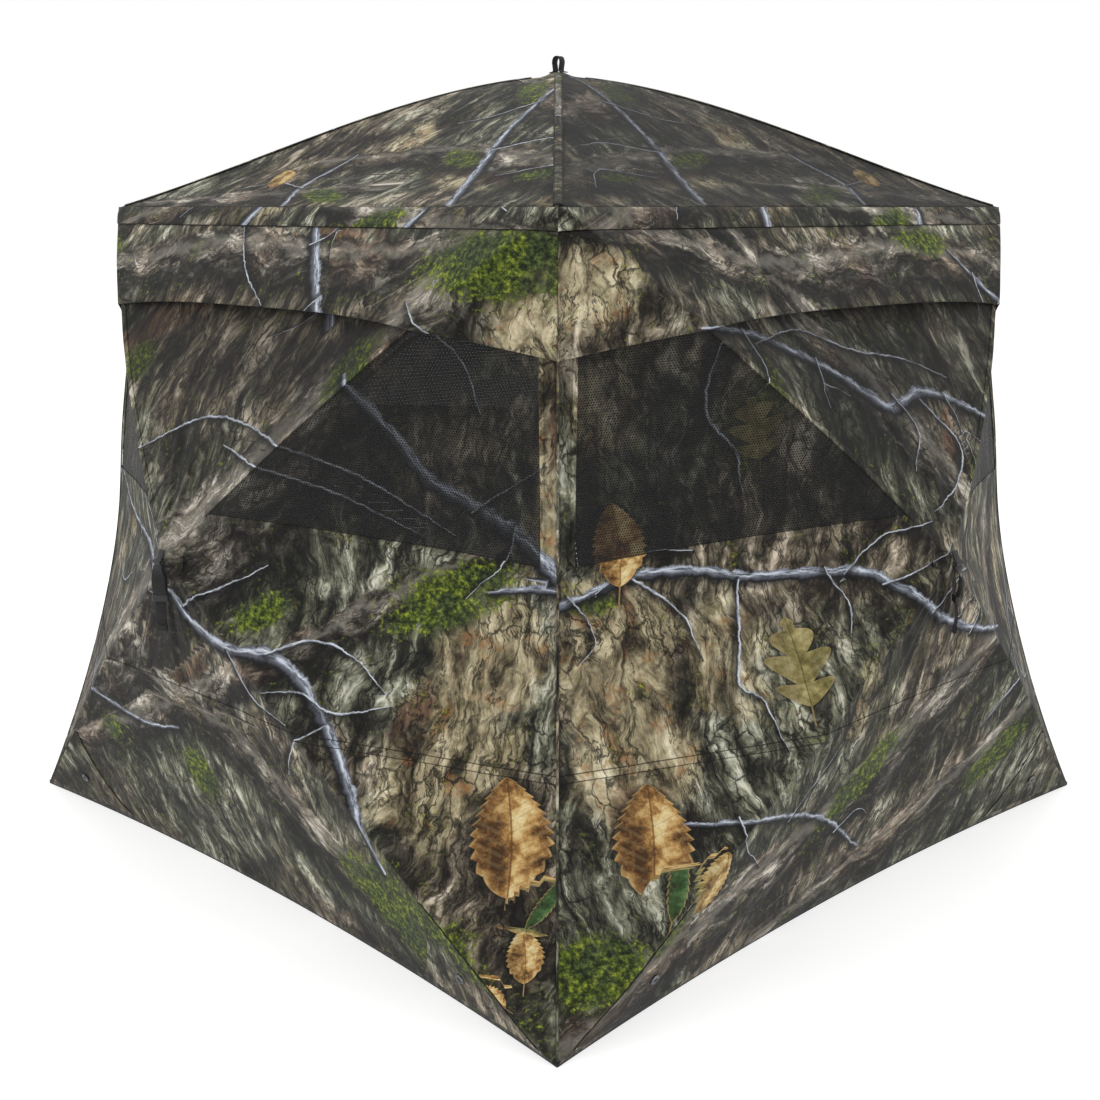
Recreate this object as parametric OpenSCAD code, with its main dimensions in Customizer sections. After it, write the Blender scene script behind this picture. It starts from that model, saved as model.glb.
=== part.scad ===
// Pop up ground blind: four leaning fabric walls and a low pyramid roof.
// Every panel is pushed out by a hub that carries four bowed poles.
// Millimetres. Z is up, the origin is the centre of the footprint on the ground.
// Walls are numbered 0 front (-Y), 1 right (+X), 2 back (+Y), 3 left (-X). Panel 4 is the roof.

/* [Overall] */
// Side of the square footprint, corner to corner
base_side = 1700; // [1500:10:1900]
// Side of the square at the eaves, corner to corner
roof_side = 1346; // [1200:2:1500]
// Height of the eaves
eave_height = 1331; // [1200:1:1450]
// Height of the roof's peak
peak_height = 1603; // [1500:1:1750]

/* [Panel shape] */
// Height of a wall's hub, as a share of the wall's slant height
hub_share = 0.51; // [0.46:0.01:0.56]
// How far a wall's hub stands out of the plane of its four corners
wall_pop = 244; // [200:1:280]
// Outward bow of the creases above a wall's hub
upper_bow = 30; // [10:1:40]
// Outward bow of the creases below a wall's hub
lower_bow = 18; // [10:1:30]
// Upward bow of the roof's creases, greatest a third of the way down from the peak
roof_bow = 33; // [10:1:45]
// Upward bow of the roof's poles
roof_pole_bow = 24; // [10:1:40]
// How far a corner seam is pulled in at mid height, along the diagonal
corner_sag = 86; // [40:1:110]
// Share of that pull which the taut strip beside the windows takes back
corner_tight = 0.17; // [0:0.01:0.3]
// How far the bottom edge is pulled in at the middle of a wall
base_sag = 45; // [20:1:60]
// How far the eave is pulled in at the middle of a wall
eave_sag = 10; // [0:1:20]

/* [Bands of fabric, as shares of the wall's slant height] */
// Seam across the lower wall
seam_level = 0.3175; // [0.25:0.0025:0.4]
// Window sill
sill_level = 0.575; // [0.56:0.005:0.65]
// Lower edge of the brow at the middle of a wall
brow_level = 0.857; // [0.8:0.001:0.88]
// Lower edge of the brow at a corner
brow_corner_level = 0.82; // [0.78:0.002:0.86]
// Top of the window mesh, hidden behind the brow
mesh_top_level = 0.93; // [0.9:0.01:0.95]
// Bottom of the eave band
band_level = 0.972; // [0.96:0.002:0.985]

/* [Fabric] */
// Thickness of one layer
skin = 1.2; // [0.8:0.1:2]
// Gap left between neighbouring panels of one wall
panel_gap = 1; // [0.5:0.1:2]
// Width of the fabric strip between a window and its corner seam
strip_width = 26; // [20:1:40]
// How far the brow's lower edge stands off the wall
brow_stand = 7; // [6:1:30]
// Height of the hem binding
hem_height = 10; // [8:1:14]

/* [Poles] */
// Diameter of a pole
pole_d = 9.5; // [8:0.5:11]
// Diameter of the end fittings
fitting_d = 13; // [12:0.5:16]
// Length of the tip cap
tip_length = 32; // [25:1:40]
// Distance from a pole's tip to the panel's corner, in the panel's plane
tip_inset = 64; // [60:1:80]
// How far the tips lie inside the plane of the corners
tip_depth = 14; // [10:1:20]

/* [Hubs] */
// Diameter of a hub's core
hub_d = 92; // [84:1:110]
// Thickness of the core
hub_h = 30; // [26:1:36]
// Radius of the circle that the pivot pins lie on
pin_circle = 30; // [28:1:34]
// Diameter of a pivot pin
pin_d = 5; // [4:0.5:6]
// Distance from the fabric's peak down to the middle of the core
hub_drop = 35; // [32:1:45]

/* [Straps] */
// Width of the pull strap's webbing
strap_width = 25; // [20:1:30]
// Length of the wide, doubled part
strap_upper = 66; // [50:1:80]
// Length of the narrow tail
strap_tail = 62; // [40:1:80]

/* [Door] */
// Distance from the zipped creases to the door's edge
door_margin = 24; // [20:1:40]
// Distance from the corner line to the door's straight hinge
hinge_inset = 96; // [90:1:120]
// Width of the hinge tape
hinge_tape = 20; // [15:1:30]

/* [Hidden] */
$fn = 48;

ROOF = 4;
DOOR_WALL = 2;
lean = atan((base_side - roof_side) / 2 / eave_height);
slant = eave_height / cos(lean);
hub_up = hub_share * slant;
roof_pop = peak_height - eave_height;
pin_clearance = 0.06;
socket_play = 1.2;
seam_gap = 1.5;
// Level and spread of the corner strips' tight part.
tight_level = 0.65;
tight_spread = 0.13;

cloth = [0.30, 0.29, 0.22];
mesh_cloth = [0.16, 0.16, 0.13];
webbing = [0.06, 0.06, 0.06];
moulded = [0.10, 0.10, 0.10];
fibreglass = [0.16, 0.17, 0.17];
steel = [0.62, 0.62, 0.62];

// ---------- the frame of each panel ----------

// X runs across the panel, Y up the wall's slant, Z out of it.
module panel_frame(panel) {
    if (panel == ROOF) translate([0, 0, eave_height]) children();
    else rotate([0, 0, 90 * panel]) translate([0, -base_side / 2, 0])
        rotate([90 - lean, 0, 0]) children();
}

function pop(panel) = panel == ROOF ? roof_pop : wall_pop;
function hub_y(panel) = panel == ROOF ? 0 : hub_up;
// The creases of the door's wall are held straight by the zips sewn along them.
function bow_share(panel) = panel == DOOR_WALL ? 0 : 1;

// Corners of a panel, counter-clockwise from the upper right.
function corner(panel, i) =
    let (sx = (i == 0 || i == 3) ? 1 : -1, upper = i < 2)
    panel == ROOF ? [sx * roof_side / 2, (upper ? 1 : -1) * roof_side / 2]
    : upper ? [sx * roof_side / 2, slant] : [sx * base_side / 2, 0];

// ---------- the fabric surface of a wall ----------

function level_half(v) = (base_side + (roof_side - base_side) * v) / 2;
function mix(a, b, f) = a + (b - a) * f;
function reach(v) = v >= hub_share ? (v - hub_share) / (1 - hub_share) : (hub_share - v) / hub_share;

// A point on the crease over a pole, at height share v.
function crease(v, side, bows) =
    let (t = reach(v), upper = v >= hub_share,
         end = upper ? [side * roof_side / 2, slant] : [side * base_side / 2, 0],
         bow = bows * (upper ? upper_bow : lower_bow))
    [end.x * t, mix(hub_up, end.y, t), wall_pop * (1 - t) + 4 * t * (1 - t) * bow];

// A point on the corner seam, at height share v.
function seam(v, side) =
    let (taut = 1 - corner_tight * exp(-pow((v - tight_level) / tight_spread, 2)),
         q = corner_sag * taut * 4 * v * (1 - v) / sqrt(2))
    [side * (level_half(v) - q), v * slant + q * sin(lean), -q * cos(lean)];

// Facet 0 is above or below the hub, with a from -1 to 1 between its creases.
// Facets 1 and -1 are beside it, with a from 0 at the crease to 1 at the corner seam.
function wall_point(facet, v, a, off = 0, bows = 1) =
    facet == 0
    ? let (c = crease(v, 1, bows), t = reach(v),
           pull = (v >= hub_share ? eave_sag : base_sag) * t * t * (1 - a * a))
      [c.x * a, c.y + pull * sin(lean), c.z - pull * cos(lean) + off]
    : mix(crease(v, facet, bows), seam(v, facet), a) + [facet * off * a, 0, off];

function facet_width(facet, v) =
    abs(seam(v, facet).x - crease(v, facet, 0).x);

// A closed sheet through a grid of points, thickened inwards along Z.
module sheet(rows, thick = skin) {
    m = len(rows);
    n = len(rows[0]);
    outer = [for (r = rows) for (p = r) p];
    inner = [for (p = outer) p - [0, 0, thick]];
    at = function(i, j) i * n + j;
    back = m * n;
    top = [for (i = [0:m - 2]) for (j = [0:n - 2]) for (f = [
        [at(i, j), at(i + 1, j), at(i + 1, j + 1)], [at(i, j), at(i + 1, j + 1), at(i, j + 1)]]) f];
    under = [for (f = top) [f[0] + back, f[2] + back, f[1] + back]];
    rim = concat(
        [for (j = [0:n - 1]) at(0, j)], [for (i = [1:m - 1]) at(i, n - 1)],
        [for (j = [n - 2:-1:0]) at(m - 1, j)], [for (i = [m - 2:-1:1]) at(i, 0)]);
    edge = [for (k = [0:len(rim) - 1]) let (p = rim[k], q = rim[(k + 1) % len(rim)])
        for (f = [[p, q, q + back], [p, q + back, p + back]]) f];
    polyhedron(concat(outer, inner), concat(top, under, edge), convexity = 4);
}

// A patch of one facet between two levels, with its own limits across.
// low and high give the level at each a; left and right give a at each level.
module patch(facet, low, high, left, right, off = function(v) 0, bows = 1, ups = 6, across = 4) {
    mirrored = facet == -1;
    grid = [for (i = [0:ups]) [for (j = [0:across])
        let (f = mirrored ? 1 - j / across : j / across,
             v0 = mix(low(f), high(f), i / ups),
             a = mix(left(v0), right(v0), f))
        wall_point(facet, v0, a, off(v0), bows)]];
    sheet([for (i = [ups:-1:0]) grid[i]]);
}

function flat(value) = function(x) value;
// Position across a side facet at a distance from its crease or from its corner seam.
function from_crease(facet, d) = function(v) min(0.5, d / facet_width(facet, v));
function from_seam(facet, d) = function(v) max(0.5, 1 - d / facet_width(facet, v));

hub_hole = 0.05;
above_hub = mix(hub_share, 1, hub_hole);
below_hub = hub_share * (1 - hub_hole);
corner_start = 0.015;

module middle_facets(bows) {
    patch(0, flat(above_hub), flat(0.998), flat(-1), flat(1), bows = bows, ups = 5);
    patch(0, flat(hem_height / slant), flat(seam_level), flat(-1), flat(1), bows = bows, across = 12);
    patch(0, flat(seam_level + 0.001), flat(below_hub), flat(-1), flat(1), bows = bows, ups = 4);
}

module side_facet(facet, bows) {
    near = from_crease(facet, panel_gap);
    to_seam = from_seam(facet, seam_gap);
    patch(facet, flat(corner_start), flat(seam_level), near, to_seam, bows = bows, ups = 5);
    patch(facet, flat(seam_level + 0.001), flat(sill_level), near, to_seam, bows = bows, ups = 7);
    patch(facet, flat(sill_level + 0.001), flat(mesh_top_level),
        from_seam(facet, strip_width), to_seam, bows = bows, across = 1);
    patch(facet, flat(mesh_top_level + 0.001), flat(1 - corner_start), near, to_seam,
        bows = bows, ups = 2);
}

// The straight hinge line of the door, at a level, as a position across the facet.
function hinge_across(facet) = function(v)
    let (w = facet_width(facet, v), line = level_half(v) - hinge_inset,
         c = abs(crease(v, facet, 0).x))
    (line - c) / w;

door_low = 0.13;
door_high = 0.86;

// The fixed fabric around the door.
module door_surround(facet) {
    strip = function(v) (door_margin - 4) / facet_width(facet, v);
    near = from_crease(facet, panel_gap);
    to_seam = from_seam(facet, seam_gap);
    line = hinge_across(facet);
    past = function(v) line(v) + hinge_tape / facet_width(facet, v);
    patch(facet, flat(corner_start), flat(door_low), near, to_seam, bows = 0, ups = 3);
    patch(facet, flat(door_high), flat(1 - corner_start), near, to_seam, bows = 0, ups = 3);
    patch(facet, flat(door_low + 0.001), flat(below_hub), near, strip, bows = 0, across = 1);
    patch(facet, flat(above_hub), flat(door_high - 0.001), near, strip, bows = 0, across = 1);
    patch(facet, flat(door_low + 0.001), flat(door_high - 0.001), past, to_seam, bows = 0,
        across = 2, ups = 10);
}

// ---------- root fabric ----------

module wall_skin(panel) {
    bows = bow_share(panel);
    color(cloth) panel_frame(panel) difference() {
        union() {
            middle_facets(bows);
            side_facet(-1, bows);
            if (panel == DOOR_WALL) door_surround(1);
            else side_facet(1, bows);
        }
        for (side = [-1, 1]) grommet_frame(panel, side) cylinder(r = 7, h = 20, center = true);
    }
}

module roof_skin() {
    color(cloth) for (panel = [0:3]) rotate([0, 0, 90 * panel]) sheet(
        [for (i = [0:8]) let (t = mix(1, hub_hole, i / 8)) [for (j = [0:4]) let (a = 1 - j / 2)
            [-a * (roof_side / 2 * t - panel_gap),
             -roof_side / 2 * t + eave_sag * t * t * (1 - a * a),
             mix(peak_height, eave_height, t) + 27 / 4 * t * pow(1 - t, 2) * roof_bow]]]);
}

module eave_band() {
    color(cloth) for (panel = [0:3]) panel_frame(panel) {
        bows = bow_share(panel);
        patch(0, flat(band_level), flat(0.996), flat(-1), flat(1), flat(5), bows, 1);
        for (facet = [-1, 1]) patch(facet, flat(band_level), flat(0.99),
            from_crease(facet, panel_gap), from_seam(facet, 4), flat(5), bows, 1, 2);
    }
}

// Height of the brow's lower edge, arched over the middle and falling towards the corners.
function brow_edge(facet) = function(f)
    let (x = facet == 0 ? 0.7 * abs(2 * f - 1) : mix(0.7, 1, f))
    mix(brow_level, brow_corner_level, pow(x, 3));
function brow_off(v) = mix(4, brow_stand, (band_level - v) / (band_level - brow_level));

module brow_valance() {
    color(cloth) for (panel = [0:3]) panel_frame(panel) for (facet = [-1:1])
        patch(facet, brow_edge(facet), flat(band_level - 0.002),
            facet == 0 ? flat(-1) : from_crease(facet, panel_gap),
            facet == 0 ? flat(1) : from_seam(facet, 4),
            function(v) brow_off(v), bow_share(panel), 3);
}

module window_meshes() {
    color(mesh_cloth) for (panel = [0:3]) panel_frame(panel) for (facet = [-1, 1])
        if (panel != DOOR_WALL || facet == -1)
            patch(facet, flat(sill_level + 0.001), flat(mesh_top_level - 0.001),
                from_crease(facet, panel_gap), from_seam(facet, strip_width + panel_gap),
                bows = bow_share(panel), ups = 5);
}

// A band of binding folded round the bottom edge, curved like the edge.
module hem_binding() {
    steps = 12;
    half = base_side / 2;
    reach_in = function(x) base_sag * (1 - pow(x / half, 2));
    thick = 3;
    mitre = thick + 0.5;
    outer = [for (i = [0:steps]) let (x = mix(0.5 - half, half - 0.5, i / steps))
        [x, -half + reach_in(x)]];
    inner = [for (i = [steps:-1:0]) let (x = mix(mitre - half, half - mitre, i / steps))
        [x, -half + reach_in(x) + thick]];
    color(webbing) for (panel = [0:3]) rotate([0, 0, 90 * panel])
        linear_extrude(hem_height - 1) polygon(concat(outer, inner));
}

// An eyelet's place, and the slopes of the wall there, up it and across it.
eyelet_level = 0.055;
eyelet_share = 0.84;
eyelet_stand = 3.1;

module grommet_frame(panel, side) {
    t = reach(eyelet_level);
    bows = bow_share(panel);
    fall = wall_pop - 4 * (1 - 2 * t) * lower_bow * bows
        + 2 * base_sag * t * (1 - pow(eyelet_share, 2)) * cos(lean);
    across = 2 * base_sag * t * eyelet_share * cos(lean) / (base_side / 2);
    translate(wall_point(0, eyelet_level, eyelet_share * side, eyelet_stand, bows))
        rotate([atan(fall / hub_up), -side * atan(across), 0]) children();
}

// The inner edge of a triangular corner patch, from its foot up to its tip.
function patch_edge(side) = function(v)
    side * mix(0.6, 0.97, (v - patch_low) / (patch_high - patch_low));
patch_low = 0.012;
patch_high = 0.15;
patch_side = 0.985;

module corner_patches() {
    color(cloth) for (panel = [0:3]) panel_frame(panel) for (side = [-1, 1]) difference() {
        patch(0, flat(patch_low), flat(patch_high),
            side > 0 ? patch_edge(side) : flat(-patch_side),
            side > 0 ? flat(patch_side) : patch_edge(side), flat(2.2), bow_share(panel), 3, 2);
        grommet_frame(panel, side) cylinder(r = 7, h = 20, center = true);
    }
}

module grommets() {
    color(steel) for (panel = [0:3]) panel_frame(panel) for (side = [-1, 1])
        grommet_frame(panel, side) difference() {
            union() {
                cylinder(r = 10, h = 1.6);
                translate([0, 0, -6]) cylinder(r = 6.4, h = 7);
                translate([0, 0, -7.2]) cylinder(r = 10, h = 1.4);
            }
            translate([0, 0, -10]) cylinder(r = 5, h = 20);
        }
}

// ---------- poles ----------

function pole_aim(panel, i) = corner(panel, i) - [0, hub_y(panel)];
function pole_heading(panel, i) = atan2(pole_aim(panel, i).y, pole_aim(panel, i).x);
function pole_run(panel, i) = norm(pole_aim(panel, i)) - tip_inset - pin_circle;
function pole_fall(panel) = pop(panel) - hub_drop + tip_depth;
function pole_length(panel, i) = norm([pole_run(panel, i), pole_fall(panel)]);
function pole_bow(panel, i) = panel == ROOF ? roof_pole_bow
    : bow_share(panel) * (i < 2 ? upper_bow : lower_bow);

module hub_frame(panel) {
    panel_frame(panel) translate([0, hub_y(panel), pop(panel) - hub_drop]) children();
}

// The pivot of a pole: X points at its tip, Y along the pin.
module pivot_frame(panel, i) {
    hub_frame(panel) rotate([0, 0, pole_heading(panel, i)]) translate([pin_circle, 0, 0]) children();
}

module pole_frame(panel, i) {
    pivot_frame(panel, i) rotate([0, atan(pole_fall(panel) / pole_run(panel, i)), 0]) children();
}

// An arc of rod from the origin along X, bowed towards Z.
module bowed_rod(length, bow, from, to) {
    if (bow == 0) translate([from, 0, 0]) rotate([0, 90, 0]) cylinder(d = pole_d, h = to - from);
    else {
        radius = (length * length / 4 + bow * bow) / (2 * bow);
        turn = function(x) asin((x - length / 2) / radius);
        translate([length / 2, 0, bow - radius]) rotate([90, 0, 0])
            rotate([0, 0, 90 - turn(to)]) rotate_extrude(angle = turn(to) - turn(from))
                translate([radius, 0]) circle(d = pole_d);
    }
}

function end_slope(length, bow) = 2 * atan(2 * bow / length);

module pole_end_fitting() {
    socket = 26;
    difference() {
        union() {
            rotate([90, 0, 0]) cylinder(d = 14, h = 11, center = true);
            translate([0, -5.5, -5]) cube([20, 11, 10]);
            translate([19, 0, 0]) rotate([0, 90, 0]) cylinder(d = fitting_d, h = socket);
        }
        rotate([90, 0, 0]) cylinder(d = pin_d + 2 * pin_clearance, h = 20, center = true);
        translate([24, 0, 0]) rotate([0, 90, 0]) cylinder(d = pole_d + socket_play, h = socket);
    }
}

module pole_tip() {
    difference() {
        union() {
            translate([-tip_length, 0, 0]) rotate([0, 90, 0])
                cylinder(d = fitting_d, h = tip_length - fitting_d / 2);
            translate([-fitting_d / 2, 0, 0]) sphere(d = fitting_d);
        }
        translate([-tip_length - 1, 0, 0]) rotate([0, 90, 0])
            cylinder(d = pole_d + socket_play, h = tip_length - 6);
    }
}

module tip_frame(panel, i) {
    length = pole_length(panel, i);
    pole_frame(panel, i) translate([length, 0, 0])
        rotate([0, end_slope(length, pole_bow(panel, i)), 0]) children();
}

module pole(panel, i) {
    length = pole_length(panel, i);
    bow = pole_bow(panel, i);
    color(fibreglass) pole_frame(panel, i) bowed_rod(length, bow, 25, length - 8);
    color(moulded) pole_frame(panel, i) rotate([0, -end_slope(length, bow), 0]) pole_end_fitting();
    color(moulded) tip_frame(panel, i) pole_tip();
}

// A fabric pocket that holds the tip of a pole in a corner.
module pocket(panel, i) {
    tip_frame(panel, i) difference() {
        translate([-44, 0, 0]) rotate([0, 90, 0]) cylinder(r = 11, h = 50);
        translate([-46, 0, 0]) rotate([0, 90, 0]) cylinder(r = 9.8, h = 50.5);
    }
}

module top_corner_pockets() {
    color(webbing) {
        for (panel = [0:3]) for (i = [0, 1]) pocket(panel, i);
        for (i = [0:3]) pocket(ROOF, i);
    }
}

module bottom_corner_pockets() {
    color(webbing) for (panel = [0:3]) for (i = [2, 3]) pocket(panel, i);
}

// ---------- hubs ----------

module hub_core(panel) {
    slot = 12;
    chamfer = 5;
    color(moulded) hub_frame(panel) difference() {
        union() {
            translate([0, 0, -hub_h / 2]) cylinder(d = hub_d, h = hub_h - chamfer);
            translate([0, 0, hub_h / 2 - chamfer])
                cylinder(d1 = hub_d, d2 = hub_d - 2 * chamfer, h = chamfer);
            cylinder(d = 22, h = hub_drop + 1);
        }
        for (i = [0:3]) rotate([0, 0, pole_heading(panel, i)]) {
            translate([pin_circle - 11, -slot / 2, -hub_h]) cube([hub_d, slot, 2 * hub_h]);
            translate([pin_circle, 0, 0]) rotate([90, 0, 0])
                cylinder(d = pin_d + 0.04, h = 34.4, center = true);
        }
        translate([0, 0, 10]) cylinder(d = 6.6, h = hub_drop);
    }
}

module hub_pins(panel) {
    color(steel) {
        for (i = [0:3]) pivot_frame(panel, i) rotate([90, 0, 0])
            cylinder(d = pin_d, h = 34, center = true);
        // The screw that clamps the cap and the fabric to the core.
        hub_frame(panel) translate([0, 0, 14]) {
            cylinder(d = 6, h = hub_drop - 11);
            translate([0, 0, hub_drop - 11]) cylinder(d = 12, h = 3.2);
        }
    }
}

bar_spot = [0, -4, hub_drop + 13];
cap_d = 80;

module hub_cap(panel) {
    color(moulded) hub_frame(panel) {
        difference() {
            translate([0, 0, hub_drop + 1.5]) rotate_extrude() polygon([
                [0, 0], [cap_d / 2, 0], [cap_d / 2, 2.5], [cap_d / 2 - 8, 5], [0, 6]]);
            translate([0, 0, hub_drop]) cylinder(d = 6.6, h = 20);
            translate([0, 0, hub_drop + 2.6]) cylinder(d = 13, h = 20);
        }
        if (panel != ROOF) for (side = [-1, 1])
            translate([side * 16 - 2, bar_spot.y - 4, hub_drop + 5]) cube([4, 8, 11]);
    }
    if (panel != ROOF) color(steel) hub_frame(panel) translate(bar_spot) rotate([0, 90, 0])
        cylinder(r = 2, h = 35, center = true);
}

// ---------- straps ----------

// The strap hangs plumb: Y is up, Z points away from the wall.
module strap_frame(panel) {
    hub_frame(panel) translate(bar_spot) rotate([lean, 0, 0]) children();
}

module pull_strap(panel) {
    color(webbing) strap_frame(panel) {
        difference() {
            union() {
                rotate([0, 90, 0]) cylinder(r = 4, h = strap_width, center = true);
                translate([-strap_width / 2, -strap_upper, -1.6]) cube([strap_width, strap_upper, 3.2]);
            }
            rotate([0, 90, 0]) cylinder(r = 2.06, h = 2 * strap_width, center = true);
        }
        // The keeper that the tail is threaded through.
        translate([0, -strap_upper - 1, 0]) difference() {
            cube([34, 16, 9], center = true);
            cube([strap_width + 1, 20, 4.4], center = true);
        }
        translate([-10, -strap_upper - 1 - strap_tail, -1.2]) cube([20, strap_tail, 2.4]);
    }
}

module roof_pull_loop() {
    wide = 24;
    tall = 34;
    web = 2.6;
    color(webbing) hub_frame(ROOF) translate([0, 8, hub_drop + 7.7]) rotate([90, 0, 0])
        linear_extrude(16) difference() {
            union() {
                translate([-wide / 2, 0]) square([wide, tall - wide / 2]);
                translate([0, tall - wide / 2]) circle(d = wide);
            }
            translate([-wide / 2 + web, web]) square([wide - 2 * web, tall - wide / 2 - web]);
            translate([0, tall - wide / 2]) circle(d = wide - 2 * web);
        }
}

// ---------- door in the back wall ----------

module door_panel() {
    edge = function(v) door_margin / facet_width(1, v);
    line = hinge_across(1);
    color(cloth) panel_frame(DOOR_WALL) {
        patch(1, flat(door_low + 0.005), flat(hub_share), edge, line, bows = 0);
        patch(1, flat(hub_share + 0.001), flat(door_high - 0.005), edge, line, bows = 0);
    }
}

module door_hinge_tape() {
    line = hinge_across(1);
    color(webbing) panel_frame(DOOR_WALL) patch(1, flat(door_low + 0.005), flat(door_high - 0.005),
        function(v) line(v) + 1.5 / facet_width(1, v),
        function(v) line(v) + (hinge_tape - 1.5) / facet_width(1, v), bows = 0, ups = 10, across = 1);
}

module door_zip_tapes() {
    edge = function(v) (door_margin - 10) / facet_width(1, v);
    far = function(v) (door_margin - 2) / facet_width(1, v);
    color(webbing) panel_frame(DOOR_WALL) {
        patch(1, flat(door_low + 0.005), flat(hub_share - 0.01), edge, far, flat(2.5), 0, 4, 1);
        patch(1, flat(hub_share + 0.01), flat(door_high - 0.005), edge, far, flat(2.5), 0, 4, 1);
    }
}

// A zip slider beside the pole it runs along: i is the pole's corner.
module zip_slider(i) {
    above_pole = hub_drop - 5;
    color(steel) pole_frame(DOOR_WALL, i)
        translate([70, (i == 0 ? -1 : 1) * (door_margin - 12), above_pole]) {
            translate([-6, -4, 0]) cube([12, 8, 5]);
            translate([-3, -1, 4.5]) cube([6, 2, 3.5]);
            translate([-1, -3, 8.2]) cube([26, 6, 1.4]);
        }
}

roof_skin();
eave_band();
brow_valance();
window_meshes();
hem_binding();
top_corner_pockets();
bottom_corner_pockets();
corner_patches();
grommets();
door_zip_tapes();
door_hinge_tape();
door_panel();
zip_slider(0);  // upper_zip_slider
zip_slider(3);  // lower_zip_slider
roof_pull_loop();

panel_names = ["front", "right", "back", "left", "roof"];
wall_poles = ["_pole_upper_right", "_pole_upper_left", "_pole_lower_left", "_pole_lower_right"];
roof_poles = ["_pole_right_back", "_pole_left_back", "_pole_left_front", "_pole_right_front"];
for (panel = [0:4]) {
    name = panel_names[panel];
    hub_core(panel);
    hub_pins(panel);
    hub_cap(panel);
    if (panel != ROOF) {
        wall_skin(panel);
        pull_strap(panel);
    }
    for (i = [0:3]) {
        pole_name = str(name, (panel == ROOF ? roof_poles : wall_poles)[i]);
        pole(panel, i);
    }
}
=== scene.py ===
"""Looks of a pop up ground blind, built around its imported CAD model.

Metres, Z up, in the CAD model's own frame. Walls are numbered 0 front (-Y), 1 right (+X),
2 back (+Y) and 3 left (-X). A place on a wall is (x across, y up the slant, z out of it).
A level is a share of the slant height, and a station runs from -2 at the left corner seam
over -1 and 1 at the creases along the poles to 2 at the right corner seam.
"""
import math

import bpy
import numpy as np
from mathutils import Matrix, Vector


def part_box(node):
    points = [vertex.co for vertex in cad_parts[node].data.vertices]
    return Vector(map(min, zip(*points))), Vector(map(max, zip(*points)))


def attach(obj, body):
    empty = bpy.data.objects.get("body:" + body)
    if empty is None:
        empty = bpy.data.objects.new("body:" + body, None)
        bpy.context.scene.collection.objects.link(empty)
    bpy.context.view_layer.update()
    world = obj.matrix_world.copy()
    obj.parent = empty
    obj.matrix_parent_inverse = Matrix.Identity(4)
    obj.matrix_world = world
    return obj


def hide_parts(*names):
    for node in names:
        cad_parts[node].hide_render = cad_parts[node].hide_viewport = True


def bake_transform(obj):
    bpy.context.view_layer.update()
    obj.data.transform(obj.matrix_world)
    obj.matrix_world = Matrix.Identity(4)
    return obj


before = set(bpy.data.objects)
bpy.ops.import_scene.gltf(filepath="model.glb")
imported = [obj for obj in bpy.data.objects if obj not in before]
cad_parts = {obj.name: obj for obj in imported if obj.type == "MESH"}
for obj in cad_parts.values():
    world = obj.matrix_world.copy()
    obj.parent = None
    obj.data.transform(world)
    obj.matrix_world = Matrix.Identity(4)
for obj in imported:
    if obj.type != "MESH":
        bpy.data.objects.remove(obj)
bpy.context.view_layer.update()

# ---------- driving sizes, the CAD model's own ----------

WALLS = ("front", "right", "back", "left")
DOOR_WALL = 2
SKIN = 0.0012
HUB_SHARE = 0.51
WALL_POP = 0.244
UPPER_BOW = 0.030
LOWER_BOW = 0.018
ROOF_BOW = 0.033
ROOF_POLE_BOW = 0.024
CORNER_SAG = 0.086
CORNER_TIGHT = 0.17
BASE_SAG = 0.045
EAVE_SAG = 0.010
SEAM_LEVEL = 0.3175
SILL_LEVEL = 0.575
SILL_DROP = 0.013
BROW_LEVEL = 0.857
BROW_CORNER_LEVEL = 0.82
MESH_TOP_LEVEL = 0.93
BAND_LEVEL = 0.972
STRIP_WIDTH = 0.026
BROW_STAND = 0.007
HUB_DROP = 0.035
DOOR_LOW = 0.13
DOOR_HIGH = 0.86
DOOR_MARGIN = 0.024
HINGE_INSET = 0.096
HINGE_TAPE = 0.020
POLE_RADIUS = 0.00475
PIN_CIRCLE = 0.030
TIP_INSET = 0.064
TIP_DEPTH = 0.014

base_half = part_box("hem_binding")[1].x + 0.0005
roof_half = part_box("roof_skin")[1].x
eave_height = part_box("roof_skin")[0].z + SKIN
peak_height = 1.603
roof_pop = peak_height - eave_height
lean = math.atan2(base_half - roof_half, eave_height)
slant = eave_height / math.cos(lean)
hub_up = HUB_SHARE * slant


def tint(red, green, blue):
    """A colour from its usual 0 to 255 values, in the linear values that shaders take."""
    def linear(c):
        c /= 255
        return c / 12.92 if c <= 0.04045 else ((c + 0.055) / 1.055) ** 2.4
    return (linear(red), linear(green), linear(blue), 1.0)


# ---------- the fabric surface ----------

def mix(a, b, f):
    return a + (b - a) * f


def smooth(x, low, high):
    t = np.clip((x - low) / (high - low), 0, 1)
    return t * t * (3 - 2 * t)


def reach(level):
    return np.where(level >= HUB_SHARE, (level - HUB_SHARE) / (1 - HUB_SHARE),
                    (HUB_SHARE - level) / HUB_SHARE)


def level_half(level):
    return mix(base_half, roof_half, level)


def crease(level, panel):
    """The crease over the right-hand poles."""
    t = reach(level)
    upper = level >= HUB_SHARE
    bow = np.where(upper, UPPER_BOW, LOWER_BOW) * (panel != DOOR_WALL)
    x = np.where(upper, roof_half, base_half) * t
    y = mix(hub_up, np.where(upper, slant, 0.0), t)
    return x, y, WALL_POP * (1 - t) + 4 * t * (1 - t) * bow


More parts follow.
